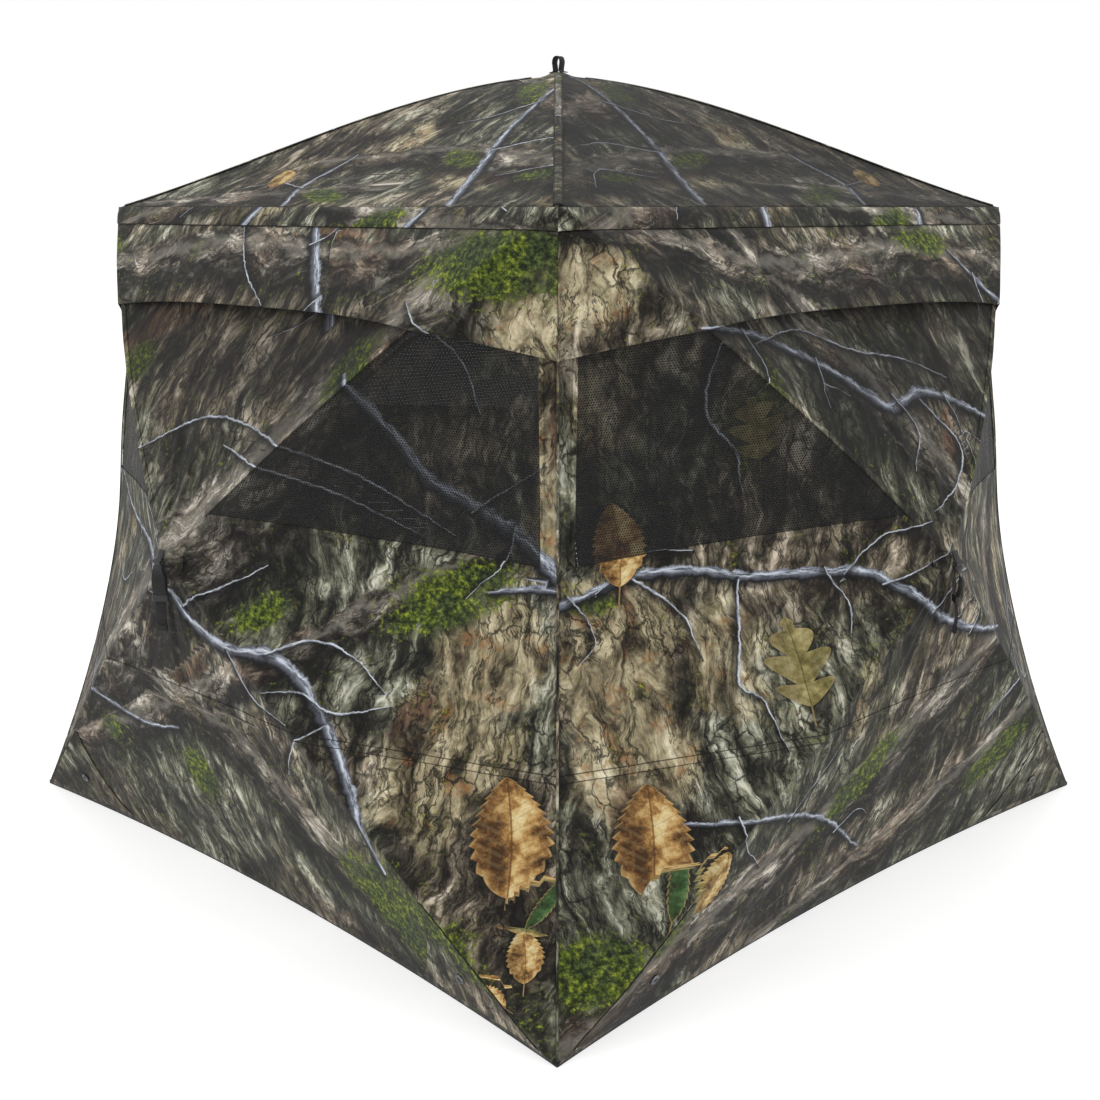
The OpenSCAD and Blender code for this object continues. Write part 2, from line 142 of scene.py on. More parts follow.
def corner_seam(level):
    taut = 1 - CORNER_TIGHT * np.exp(-((level - 0.65) / 0.13) ** 2)
    pulled = CORNER_SAG * taut * 4 * level * (1 - level) / math.sqrt(2)
    return (level_half(level) - pulled, level * slant + pulled * math.sin(lean),
            -pulled * math.cos(lean))


def facet_width(level):
    return np.maximum(corner_seam(level)[0] - crease(level, DOOR_WALL)[0], 1e-4)


def wall_place(panel, level, station, off=0.0):
    """Places on a wall's fabric, off metres outside it."""
    level, station, off = np.broadcast_arrays(np.asarray(level, float), station, off)
    side = np.sign(station)
    across = np.clip(np.abs(station) - 1, 0, 1)
    inner = np.clip(station, -1, 1)
    cx, cy, cz = crease(level, panel)
    sx, sy, sz = corner_seam(level)
    t = reach(level)
    pull = np.where(level >= HUB_SHARE, EAVE_SAG, BASE_SAG) * t * t * (1 - inner ** 2)
    x = np.where(across > 0, side * (mix(cx, sx, across) + off * across), cx * inner)
    y = mix(cy, sy, across) + pull * math.sin(lean)
    z = mix(cz, sz, across) - pull * math.cos(lean) + off
    return np.stack([x, y, z], -1)


def turn(places, panel):
    """Turns places on the front side round Z to another side."""
    angle = math.pi / 2 * panel
    c, s = math.cos(angle), math.sin(angle)
    x, y, z = places[..., 0], places[..., 1], places[..., 2]
    return np.stack([c * x - s * y, s * x + c * y, z], -1)


def from_wall(places, panel):
    """Row-frame points from places on a wall."""
    x, y, z = places[..., 0], places[..., 1], places[..., 2]
    out = np.stack([x, y * math.sin(lean) - z * math.cos(lean) - base_half,
                    y * math.cos(lean) + z * math.sin(lean)], -1)
    return turn(out, panel)


def gore_place(t, a):
    """Points on the front gore: t is 0 at the peak and 1 at the eave, a runs across."""
    return np.stack([a * roof_half * t, -roof_half * t + EAVE_SAG * t * t * (1 - a * a),
                     mix(peak_height, eave_height, t) + 6.75 * t * (1 - t) ** 2 * ROOF_BOW], -1)


def unit(vectors):
    return vectors / np.linalg.norm(vectors, axis=-1, keepdims=True)


def directions(path):
    """The path's direction at each of its points."""
    return unit(np.gradient(path, axis=0))


def lengths_along(path):
    """How far along the path each of its points is."""
    return np.concatenate([[0], np.cumsum(np.linalg.norm(np.diff(path, axis=0), axis=1))])


def hand_name(panel, part, side):
    return f"{WALLS[panel]}_{part}_{'right' if side > 0 else 'left'}"


def value_noise(x, y, seed):
    """Smooth noise from -1 to 1, about one feature a unit."""
    ix, iy = np.floor(x), np.floor(y)
    fx, fy = smooth(x - ix, 0, 1), smooth(y - iy, 0, 1)

    def lattice(i, j):
        h = np.sin(i * 127.1 + j * 311.7 + seed * 74.7) * 43758.5453
        return 2 * (h - np.floor(h)) - 1
    low = mix(lattice(ix, iy), lattice(ix + 1, iy), fx)
    high = mix(lattice(ix, iy + 1), lattice(ix + 1, iy + 1), fx)
    return mix(low, high, fy)


# ---------- the print: strokes, leaves and patches, in metres on the panel ----------

def smooth_line(points, step=0.012):
    """A Catmull-Rom line through points of (x, y, half width)."""
    points = np.array(points, float)
    padded = np.vstack([2 * points[0] - points[1], points, 2 * points[-1] - points[-2]])
    line = []
    for a, b, c, d in zip(padded, padded[1:], padded[2:], padded[3:]):
        count = max(2, int(np.linalg.norm((c - b)[:2]) / step))
        for f in np.arange(count) / count:
            line.append(0.5 * (2 * b + (c - a) * f + (2 * a - 5 * b + 4 * c - d) * f ** 2
                               + (3 * b - a - 3 * c + d) * f ** 3))
    line.append(points[-1])
    return np.array(line)


def stroke_fields(xy, strokes):
    """The nearest stroke's (length along, signed distance, half width) at each point, and how far."""
    best = np.full(len(xy), 9.0)
    near = np.zeros((len(xy), 3))
    far = np.full(len(xy), 9.0)
    for number, stroke in enumerate(strokes):
        line = smooth_line(stroke)
        run = 3.7 * number
        for p, q in zip(line, line[1:]):
            d = q[:2] - p[:2]
            length = np.hypot(*d)
            if length < 1e-6:
                continue
            d /= length
            rel = xy - p[:2]
            along = np.clip(rel @ d, 0, length)
            distance = np.hypot(*(rel - along[:, None] * d).T)
            radius = np.maximum(mix(p[2], q[2], along / length), 0.0004)
            closer = distance - radius < best
            best = np.where(closer, distance - radius, best)
            signed = d[0] * rel[:, 1] - d[1] * rel[:, 0]
            near[closer] = np.stack([run + along, signed, radius], -1)[closer]
            far = np.where(closer, distance, far)
            run += length
    return near, far


def leaf_fields(xy, leaves):
    """Leaf coordinates (across, along, kind) in leaf lengths, and how far from the nearest leaf."""
    near = np.full((len(xy), 3), 9.0)
    far = np.full(len(xy), 9.0)
    for x0, y0, x1, y1, kind in leaves:
        base = np.array([x0, y0])
        axis = np.array([x1, y1]) - base
        length = np.hypot(*axis)
        axis /= length
        rel = (xy - base) / length
        along = rel @ axis
        across = axis[0] * rel[:, 1] - axis[1] * rel[:, 0]
        distance = np.hypot(along - 0.5, across)
        closer = distance < far
        near[closer] = np.stack([across, along, np.full(len(xy), kind)], -1)[closer]
        far = np.where(closer, distance, far)
    return near, far


def blob_field(xy, blobs):
    """Soft elliptical patches of (x, y, half length, half width, degrees, strength)."""
    total = np.zeros(len(xy))
    for x, y, half_length, half_width, degrees, strength in blobs:
        c, s = math.cos(math.radians(degrees)), math.sin(math.radians(degrees))
        rel = xy - np.array([x, y])
        along = (rel[:, 0] * c + rel[:, 1] * s) / half_length
        across = (rel[:, 1] * c - rel[:, 0] * s) / half_width
        total = np.maximum(total, strength * np.exp(-1.2 * (along ** 2 + across ** 2) ** 1.5))
    return total


STROKES = ("logs", "branches", "twigs")

# Each print has strokes of (x, y, half width), drawn from left to right so that their lit side is up.
PRINT_ONE = {
    "logs": [
        [(-0.62, 0.22, 0.05), (-0.42, 0.36, 0.085), (-0.2, 0.52, 0.1), (0.07, 0.72, 0.095),
         (0.28, 0.93, 0.085), (0.45, 1.14, 0.07), (0.58, 1.34, 0.06)],
        [(-0.84, 0.12, 0.025), (-0.5, 0.22, 0.04), (0.03, 0.43, 0.036), (0.29, 0.57, 0.034),
         (0.43, 0.68, 0.03), (0.56, 0.76, 0.022)],
        [(-0.3, 0.46, 0.03), (0.1, 0.35, 0.045), (0.28, 0.24, 0.05), (0.52, 0.12, 0.045),
         (0.74, 0.03, 0.035)],
        [(-0.72, 1.17, 0.04), (-0.2, 1.25, 0.05), (0.3, 1.24, 0.045), (0.72, 1.31, 0.03)]],
    "branches": [
        [(0.05, 1.32, 0.01), (0.13, 1.23, 0.014), (0.21, 1.14, 0.013)],
        [(0.35, 1.04, 0.009), (0.42, 0.96, 0.012), (0.48, 0.89, 0.013), (0.57, 0.85, 0.014),
         (0.64, 0.81, 0.015), (0.71, 0.745, 0.014)],
        [(-0.66, 0.78, 0.004), (-0.42, 0.71, 0.007), (-0.19, 0.68, 0.009), (-0.02, 0.63, 0.01),
         (0.05, 0.575, 0.012), (0.15, 0.55, 0.013), (0.24, 0.55, 0.013), (0.3, 0.52, 0.012),
         (0.35, 0.47, 0.011), (0.39, 0.42, 0.011), (0.45, 0.33, 0.01), (0.49, 0.24, 0.007)],
        [(-0.6, 0.4, 0.004), (-0.45, 0.345, 0.006), (-0.25, 0.31, 0.006), (-0.12, 0.33, 0.003)],
        [(0.6, 0.72, 0.004), (0.66, 0.735, 0.007), (0.72, 0.74, 0.008)]],
    "twigs": [
        [(-0.18, 0.87, 0.002), (-0.02, 0.94, 0.003), (0.11, 0.945, 0.003), (0.27, 0.91, 0.003),
         (0.37, 0.88, 0.003), (0.52, 0.81, 0.001)],
        [(0.09, 0.9, 0.002), (0.2, 0.875, 0.003), (0.32, 0.85, 0.003), (0.47, 0.8, 0.001)],
        [(0.24, 0.56, 0.003), (0.31, 0.59, 0.003), (0.38, 0.575, 0.002), (0.44, 0.53, 0.001)],
        [(0.25, 0.49, 0.001), (0.31, 0.5, 0.002), (0.37, 0.475, 0.003), (0.45, 0.5, 0.001)],
        [(0.16, 0.535, 0.003), (0.21, 0.47, 0.002), (0.29, 0.445, 0.001)],
        [(-0.05, 0.66, 0.003), (-0.1, 0.74, 0.002), (-0.2, 0.79, 0.001)],
        [(0.04, 0.61, 0.003), (0.13, 0.66, 0.002), (0.19, 0.7, 0.001)],
        [(0.36, 0.45, 0.002), (0.3, 0.4, 0.002), (0.27, 0.35, 0.001)],
        [(0.44, 1.17, 0.002), (0.52, 1.1, 0.002), (0.55, 1.02, 0.001)],
        [(-0.7, 1.08, 0.001), (-0.56, 1.11, 0.002), (-0.4, 1.06, 0.001)],
        [(0.02, 1.16, 0.001), (-0.08, 1.22, 0.002), (-0.16, 1.3, 0.001)],
        [(-0.55, 0.6, 0.001), (-0.42, 0.57, 0.002), (-0.33, 0.6, 0.001)]],
    "leaves": [
        (0.715, 0.215, 0.665, 0.425, 0), (0.745, 0.185, 0.782, 0.285, 1), (0.775, 0.105, 0.745, 0.195, 0.4),
        (0.765, 0.07, 0.7, 0.09, 0.2)],
    "pale": [
        (0.6, 0.6, 0.14, 0.09, 70, 1), (0.57, 0.42, 0.13, 0.1, 60, 1), (0.64, 1.19, 0.12, 0.07, 80, 1),
        (0.67, 0.95, 0.25, 0.035, 90, 0.7), (-0.47, 0.66, 0.14, 0.06, 40, 0.5),
        (-0.55, 0.92, 0.2, 0.05, 80, 0.5)],
    "dark": [
        (-0.52, 1.02, 0.16, 0.09, 20, 0.7), (0.1, 0.8, 0.18, 0.05, 60, 0.6),
        (-0.2, 0.14, 0.2, 0.06, -10, 0.6), (0.22, 0.38, 0.06, 0.05, 0, 0.8),
        (0.4, 0.3, 0.1, 0.05, -40, 0.6), (-0.05, 0.86, 0.1, 0.05, 0, 0.7),
        (0.33, 0.665, 0.05, 0.025, 20, 0.8), (0.62, 0.15, 0.1, 0.04, -25, 0.5)],
    "rust": [
        (-0.3, 1.1, 0.16, 0.05, 20, 0.7), (0.1, 1.28, 0.2, 0.03, 5, 0.8), (-0.1, 0.4, 0.3, 0.05, 30, 0.6),
        (0.68, 1.02, 0.1, 0.02, 90, 1), (0.5, 0.5, 0.08, 0.03, 60, 0.6), (-0.6, 0.3, 0.1, 0.04, 20, 0.6)],
    "moss": [
        (0.59, 1.25, 0.15, 0.06, 5, 1.1), (0.53, 0.7, 0.11, 0.05, 30, 1), (-0.09, 0.24, 0.06, 0.05, 45, 1),
        (0.56, 0.13, 0.2, 0.075, -25, 1.2), (0.35, 1.07, 0.08, 0.035, 50, 0.9),
        (-0.3, 1.03, 0.05, 0.04, 0, 0.8), (0.2, 0.62, 0.05, 0.03, 30, 0.9),
        (-0.62, 1.25, 0.07, 0.03, 0, 0.8), (-0.4, 0.26, 0.05, 0.03, 20, 0.8)]}
PRINT_TWO = {
    "logs": [
        [(-0.84, 0.0, 0.045), (-0.5, 0.13, 0.062), (-0.15, 0.26, 0.065), (0.07, 0.38, 0.062),
         (0.28, 0.52, 0.055), (0.52, 0.76, 0.045), (0.66, 0.96, 0.035)],
        [(-0.25, 0.02, 0.035), (0.15, 0.13, 0.05), (0.45, 0.27, 0.045), (0.8, 0.52, 0.03)],
        [(-0.3, 1.3, 0.035), (-0.16, 1.1, 0.045), (0.0, 0.9, 0.05), (0.1, 0.78, 0.035)],
        [(-0.62, 1.32, 0.035), (-0.2, 1.22, 0.045), (0.25, 1.24, 0.05), (0.66, 1.18, 0.035)]],
    "branches": [
        [(-0.46, 1.135, 0.004), (-0.4, 1.13, 0.007), (-0.31, 1.11, 0.008), (-0.18, 1.05, 0.01),
         (-0.09, 0.99, 0.012), (-0.04, 0.965, 0.013), (0.05, 0.985, 0.012), (0.12, 0.975, 0.01),
         (0.21, 0.94, 0.008), (0.32, 0.88, 0.004)],
        [(-0.74, 0.7, 0.007), (-0.63, 0.73, 0.009), (-0.56, 0.745, 0.01), (-0.46, 0.735, 0.01),
         (-0.39, 0.715, 0.01), (-0.29, 0.705, 0.01), (-0.17, 0.69, 0.011), (-0.11, 0.65, 0.01),
         (0.0, 0.58, 0.01), (0.14, 0.53, 0.009), (0.3, 0.5, 0.004)],
        [(-0.62, 0.335, 0.004), (-0.4, 0.3, 0.006), (-0.22, 0.24, 0.006), (-0.05, 0.13, 0.003)],
        [(0.3, 0.3, 0.003), (0.45, 0.42, 0.007), (0.62, 0.5, 0.006), (0.74, 0.62, 0.002)],
        [(0.38, 1.24, 0.004), (0.45, 1.15, 0.009), (0.58, 1.05, 0.006), (0.64, 0.92, 0.002)]],
    "twigs": [
        [(-0.44, 1.1, 0.001), (-0.45, 1.03, 0.003), (-0.44, 0.98, 0.003), (-0.4, 0.93, 0.003),
         (-0.39, 0.87, 0.001)],
        [(-0.4, 0.7, 0.003), (-0.41, 0.62, 0.003), (-0.43, 0.535, 0.003), (-0.4, 0.51, 0.002),
         (-0.385, 0.43, 0.001)],
        [(-0.57, 0.735, 0.003), (-0.5, 0.67, 0.002), (-0.48, 0.6, 0.001)],
        [(0.06, 0.965, 0.003), (0.13, 0.88, 0.003), (0.09, 0.82, 0.003), (0.0, 0.78, 0.001)],
        [(-0.33, 1.105, 0.001), (-0.2, 1.12, 0.002), (-0.07, 1.075, 0.003), (0.06, 1.05, 0.002),
         (0.16, 1.01, 0.001)],
        [(-0.36, 1.12, 0.002), (-0.35, 1.06, 0.002), (-0.37, 1.03, 0.001)],
        [(-0.24, 0.7, 0.002), (-0.21, 0.64, 0.002), (-0.22, 0.6, 0.001)],
        [(-0.2, 0.7, 0.002), (-0.14, 0.75, 0.002), (-0.04, 0.76, 0.001)],
        [(-0.63, 0.73, 0.002), (-0.55, 0.78, 0.002), (-0.49, 0.775, 0.001)],
        [(-0.02, 0.6, 0.002), (0.05, 0.65, 0.002), (0.12, 0.65, 0.001)],
        [(-0.02, 0.98, 0.002), (0.01, 0.92, 0.002), (-0.03, 0.86, 0.001)],
        [(0.44, 0.415, 0.002), (0.5, 0.35, 0.002), (0.6, 0.33, 0.001)]],
    "leaves": [
        (-0.655, 0.2, -0.612, 0.405, 0), (-0.6, 0.715, -0.602, 0.87, 0.25),
        (-0.325, 0.465, -0.33, 0.635, 0.8), (-0.575, 0.165, -0.52, 0.275, 0.45),
        (-0.64, 0.17, -0.585, 0.3, 1), (-0.36, 0.9, -0.385, 1.02, 0.8)],
    "pale": [
        (-0.62, 1.25, 0.11, 0.06, 80, 1), (-0.62, 0.61, 0.16, 0.1, 80, 1), (-0.62, 0.44, 0.12, 0.1, 60, 1),
        (-0.44, 0.58, 0.12, 0.08, 80, 0.6), (-0.6, 1.02, 0.12, 0.06, 80, 0.5),
        (0.5, 0.6, 0.14, 0.06, 60, 0.5), (-0.2, 0.46, 0.1, 0.05, 70, 0.5)],
    "dark": [
        (-0.52, 0.34, 0.07, 0.03, 60, 0.6), (-0.3, 0.34, 0.12, 0.05, 20, 0.5),
        (-0.52, 0.88, 0.12, 0.05, 80, 0.8), (-0.2, 0.92, 0.14, 0.1, 60, 0.7),
        (-0.46, 0.5, 0.09, 0.02, 85, 0.8), (0.1, 1.08, 0.12, 0.04, 30, 0.7),
        (0.1, 0.24, 0.12, 0.04, 25, 0.6), (-0.6, 0.06, 0.1, 0.03, 20, 0.5)],
    "rust": [
        (-0.28, 1.24, 0.14, 0.04, -20, 0.9), (0.1, 0.9, 0.08, 0.02, 60, 1),
        (0.15, 0.44, 0.12, 0.03, 35, 0.7), (-0.66, 0.36, 0.08, 0.03, 70, 0.5),
        (0.4, 1.22, 0.12, 0.03, -10, 0.7)],
    "moss": [
        (-0.76, 0.13, 0.08, 0.055, 20, 1), (-0.13, 0.3, 0.12, 0.04, 35, 1), (0.41, 0.2, 0.11, 0.045, 30, 1),
        (-0.37, 0.98, 0.09, 0.05, 70, 0.6), (-0.64, 0.71, 0.05, 0.02, 0, 0.9),
        (0.16, 0.8, 0.07, 0.03, 70, 0.8), (0.3, 1.27, 0.09, 0.03, 0, 0.8)]}
PRINT_ROOF = {
    "logs": [
        [(-0.66, 0.06, 0.04), (-0.35, 0.17, 0.05), (-0.05, 0.24, 0.045), (0.25, 0.22, 0.035)],
        [(-0.45, 0.3, 0.035), (-0.1, 0.46, 0.05), (0.1, 0.62, 0.03)],
        [(0.02, 0.1, 0.03), (0.3, 0.06, 0.04), (0.64, 0.02, 0.03)]],
    "branches": [
        [(-0.04, 0.64, 0.006), (-0.1, 0.47, 0.009), (-0.16, 0.28, 0.012), (-0.29, 0.03, 0.013)],
        [(0.2, 0.02, 0.008), (0.26, 0.12, 0.01), (0.24, 0.24, 0.005)]],
    "twigs": [
        [(-0.11, 0.45, 0.003), (-0.03, 0.4, 0.002), (0.05, 0.38, 0.001)],
        [(-0.18, 0.25, 0.003), (-0.3, 0.27, 0.002), (-0.38, 0.25, 0.001)],
        [(-0.5, 0.09, 0.001), (-0.42, 0.16, 0.002), (-0.3, 0.14, 0.001)],
        [(0.26, 0.11, 0.002), (0.36, 0.13, 0.002), (0.45, 0.1, 0.001)]],
    "leaves": [
        (0.34, 0.1, 0.4, 0.19, 0.45)],
    "pale": [
        (0.12, 0.3, 0.12, 0.06, 60, 0.8), (-0.55, 0.03, 0.1, 0.03, 0, 0.7),
        (-0.2, 0.12, 0.14, 0.05, 20, 0.6), (0.02, 0.6, 0.1, 0.06, 30, 0.5)],
    "dark": [
        (-0.3, 0.06, 0.16, 0.03, 10, 0.7), (0.1, 0.42, 0.1, 0.04, 50, 0.7)],
    "rust": [
        (-0.2, 0.17, 0.22, 0.035, 20, 1), (0.35, 0.04, 0.16, 0.025, -5, 0.7)],
    "moss": [
        (-0.02, 0.52, 0.09, 0.035, 50, 0.9), (-0.12, 0.22, 0.09, 0.025, 20, 0.9),
        (0.12, 0.06, 0.1, 0.03, 20, 0.9), (-0.4, 0.13, 0.06, 0.02, 0, 0.8)]}


def shifted(design, dx, dy, flip=1):
    """The same print laid elsewhere on the cloth, and turned face about if flip is -1."""
    def stroke(points):
        moved = [(flip * x + dx, y + dy, r) for x, y, r in points]
        return moved if flip > 0 else moved[::-1]
    lines = {key: [stroke(s) for s in design[key]] for key in STROKES}
    leaves = [(flip * x0 + dx, y0 + dy, flip * x1 + dx, y1 + dy, kind)
              for x0, y0, x1, y1, kind in design["leaves"]]
    patches = {key: [(flip * x + dx, y + dy, a, b, flip * degrees, strength)
                     for x, y, a, b, degrees, strength in design[key]]
               for key in ("pale", "dark", "rust", "moss")}
    return {**lines, "leaves": leaves, **patches}


PRINTS = (PRINT_ONE, PRINT_TWO, shifted(PRINT_ONE, 0.06, 0.05, -1), shifted(PRINT_TWO, 0.10, 0.03, -1))
ROOF_PRINTS = (shifted(PRINT_ROOF, 0.10, 0.0, -1), PRINT_ROOF, shifted(PRINT_ROOF, 0.05, 0.02, -1),
               shifted(PRINT_ROOF, -0.08, 0.0))


def sprigs(design, seed):
    """Crooked side twigs, some of them forked, off each of a print's branches."""
    rng = np.random.default_rng(seed)
    grown = list(design["twigs"])
    others = [smooth_line(stroke, 0.01)[:, :2] for stroke in design["branches"] + grown]

    def twig(x, y, heading, length, radius):
        """Adds a twig unless it would run into another stroke, and returns its middle."""
        points = []
        for number in range(5):
            points.append((x, y, radius * (1 - 0.18 * number)))
            heading += rng.normal(0, 0.32)
            x += math.cos(heading) * length / 4
            y += math.sin(heading) * length / 4
        line = smooth_line(points, 0.01)[:, :2]
        free = line[np.hypot(*(line - line[0]).T) > 0.024]
        taken = np.concatenate(others)
        if len(free) and np.hypot(*np.moveaxis(free[:, None] - taken[None], -1, 0)).min() < 0.024:
            return None
        grown.append(points)
        others.append(line)
        return points[2], heading

    for branch in design["branches"]:
        line = smooth_line(branch, 0.01)
        for k in range(6, len(line) - 4, 7):
            dx, dy = line[k + 2][:2] - line[k - 2][:2]
            hand = rng.choice((-1, 1))
            heading = math.atan2(dy, dx) + hand * rng.uniform(0.6, 1.2)
            fork = twig(line[k][0], line[k][1], heading, rng.uniform(0.06, 0.15), 0.0020)
            if fork and rng.random() < 0.6:
                (x, y, _), ahead = fork
                twig(x, y, ahead - hand * rng.uniform(0.6, 1.1), rng.uniform(0.04, 0.07), 0.0014)
    return {**design, "twigs": grown}


PRINTS = tuple(sprigs(design, 5 + number) for number, design in enumerate(PRINTS))


def print_fields(design, xy):
    """The print's vertex attributes at points on the cloth."""
    flat = xy.reshape(-1, 2)
    fields = {}
    for key in STROKES:
        fields[key], fields[key + "_far"] = stroke_fields(flat, design[key])
    fields["leaves"], fields["leaves_far"] = leaf_fields(flat, design["leaves"])
    fields["zones"] = np.stack([blob_field(flat, design[key]) for key in ("pale", "dark", "rust")], -1)
    fields["moss"] = blob_field(flat, design["moss"])
    return fields


# ---------- mesh helpers ----------

def make_object(name, points, faces, materials, uvs=None, fields=None, face_materials=None):
    """A smooth-shaded mesh object; uvs and fields are given at its points."""
    used = np.unique(np.concatenate([np.ravel(f) for f in faces]))
    index = np.full(len(points), -1)
    index[used] = np.arange(len(used))
    mesh = bpy.data.meshes.new(name)
    mesh.from_pydata(points[used].tolist(), [], [index[list(f)].tolist() for f in faces])
    for material in materials:
        mesh.materials.append(material)
    mesh.polygons.foreach_set("use_smooth", np.ones(len(mesh.polygons), bool))
    if face_materials is not None:
        mesh.polygons.foreach_set("material_index", np.array(face_materials, np.int32))
    if uvs is not None:
        corners = np.zeros(len(mesh.loops), np.int32)
        mesh.loops.foreach_get("vertex_index", corners)
        layer = mesh.uv_layers.new(name="UVMap")
        layer.data.foreach_set("uv", uvs[used][corners].astype(np.float32).ravel())
    for key, values in (fields or {}).items():
        kind, slot = ("FLOAT_VECTOR", "vector") if values.ndim == 2 else ("FLOAT", "value")
        attribute = mesh.attributes.new(key, kind, "POINT")
        attribute.data.foreach_set(slot, values[used].astype(np.float32).ravel())
    mesh.update()
    piece = bpy.data.objects.new(name, mesh)
    bpy.context.scene.collection.objects.link(piece)
    return piece


def grid_faces(rows, columns, keep=None, wrap=False):
    """Quads of a grid of points, counter-clockwise where rows go up and columns go right."""
    faces = []
    for i in range(rows - 1):
        for j in range(columns if wrap else columns - 1):
            if keep is None or keep[i, j]:
                k = (j + 1) % columns
                faces.append((i * columns + j, i * columns + k,
                              (i + 1) * columns + k, (i + 1) * columns + j))
    return faces


def thicken(piece, thickness=SKIN, offset=-1.0, backing=1):
    """Gives a sheet its thickness; its inside and edges take the backing material."""
    solid = piece.modifiers.new("thickness", "SOLIDIFY")
    solid.thickness = thickness
    solid.offset = offset
    solid.material_offset = backing
    solid.material_offset_rim = backing
    return piece


def cloth(name, points, xy, design, materials, shift=0.0, keep=None, thickness=SKIN, shade=0.0):
    """A sheet of printed cloth through a grid of points; xy is where each lies on the panel. Its shade
    darkens the print as painted shade.
    """
    rows, columns = points.shape[:2]
    fields = print_fields(design, xy)
    fields["shade"] = np.broadcast_to(shade, points.shape[:2]).ravel()
    piece = make_object(name, points.reshape(-1, 3), grid_faces(rows, columns, keep), materials,
                        uvs=xy.reshape(-1, 2) + np.array([shift, 0.0]), fields=fields)
    return thicken(piece, thickness)


def torus_faces(rows, columns):
    """Quads of a grid of points that closes both ways."""
    return [(i * columns + j, i * columns + k, n * columns + k, n * columns + j)
            for i, n in zip(range(rows), [*range(1, rows), 0])
            for j, k in zip(range(columns), [*range(1, columns), 0])]


def capped_tube(rings):
    """Points and faces of a row of rings, with a face at each end."""
    rows, count = rings.shape[:2]
    faces = grid_faces(rows, count, wrap=True)
    faces.append(tuple(range(count))[::-1])
    faces.append(tuple((rows - 1) * count + j for j in range(count)))
    return rings.reshape(-1, 3), faces


def sweep(path, across, up, outline):
    """Points and faces of an outline of (across, up) places carried along a path."""
    path, across, up = (np.asarray(a, float) for a in (path, across, up))
    outline = np.asarray(outline, float)
    return capped_tube(path[:, None] + across[:, None] * outline[None, :, :1]
                       + up[:, None] * outline[None, :, 1:])


def rounded(width, height, radius, steps=3):
    """A rectangle with round corners, counter-clockwise, centred on the origin."""
    outline = []
    for k, (sx, sy) in enumerate([(1, 1), (-1, 1), (-1, -1), (1, -1)]):
        for i in range(steps + 1):
            angle = math.pi / 2 * (k + i / steps)
            outline.append((sx * (width / 2 - radius) + radius * math.cos(angle),
                            sy * (height / 2 - radius) + radius * math.sin(angle)))
    return np.array(outline)


def disc_outline(radius, steps=12):
    angles = np.arange(steps) * 2 * math.pi / steps
    return np.stack([radius * np.cos(angles), radius * np.sin(angles)], -1)


def joined(parts):
    """Several (points, faces) as one."""
    points, faces, start = [], [], 0
    for p, f in parts:
        points.append(np.asarray(p))
        faces += [tuple(i + start for i in face) for face in f]
        start += len(p)
    return np.concatenate(points), faces


def soften(piece, width, segments=2, angle=0.6):
    bevel = piece.modifiers.new("bevel", "BEVEL")
    bevel.width = width
    bevel.segments = segments
    bevel.limit_method = "ANGLE"
    bevel.angle_limit = angle
    return piece


# ---------- materials ----------

class Value:
    """A node's output; sums and products with it add Math nodes."""

    def __init__(self, graph, socket):
        self.graph, self.socket = graph, socket

    def __add__(self, other):
        return self.graph.math("ADD", self, other)

    def __radd__(self, other):
        return self.graph.math("ADD", other, self)

    def __sub__(self, other):
        return self.graph.math("SUBTRACT", self, other)

    def __rsub__(self, other):
        return self.graph.math("SUBTRACT", other, self)

    def __mul__(self, other):
        return self.graph.math("MULTIPLY", self, other)

    def __truediv__(self, other):
        return self.graph.math("DIVIDE", self, other)

    def __abs__(self):
        return self.graph.math("ABSOLUTE", self)


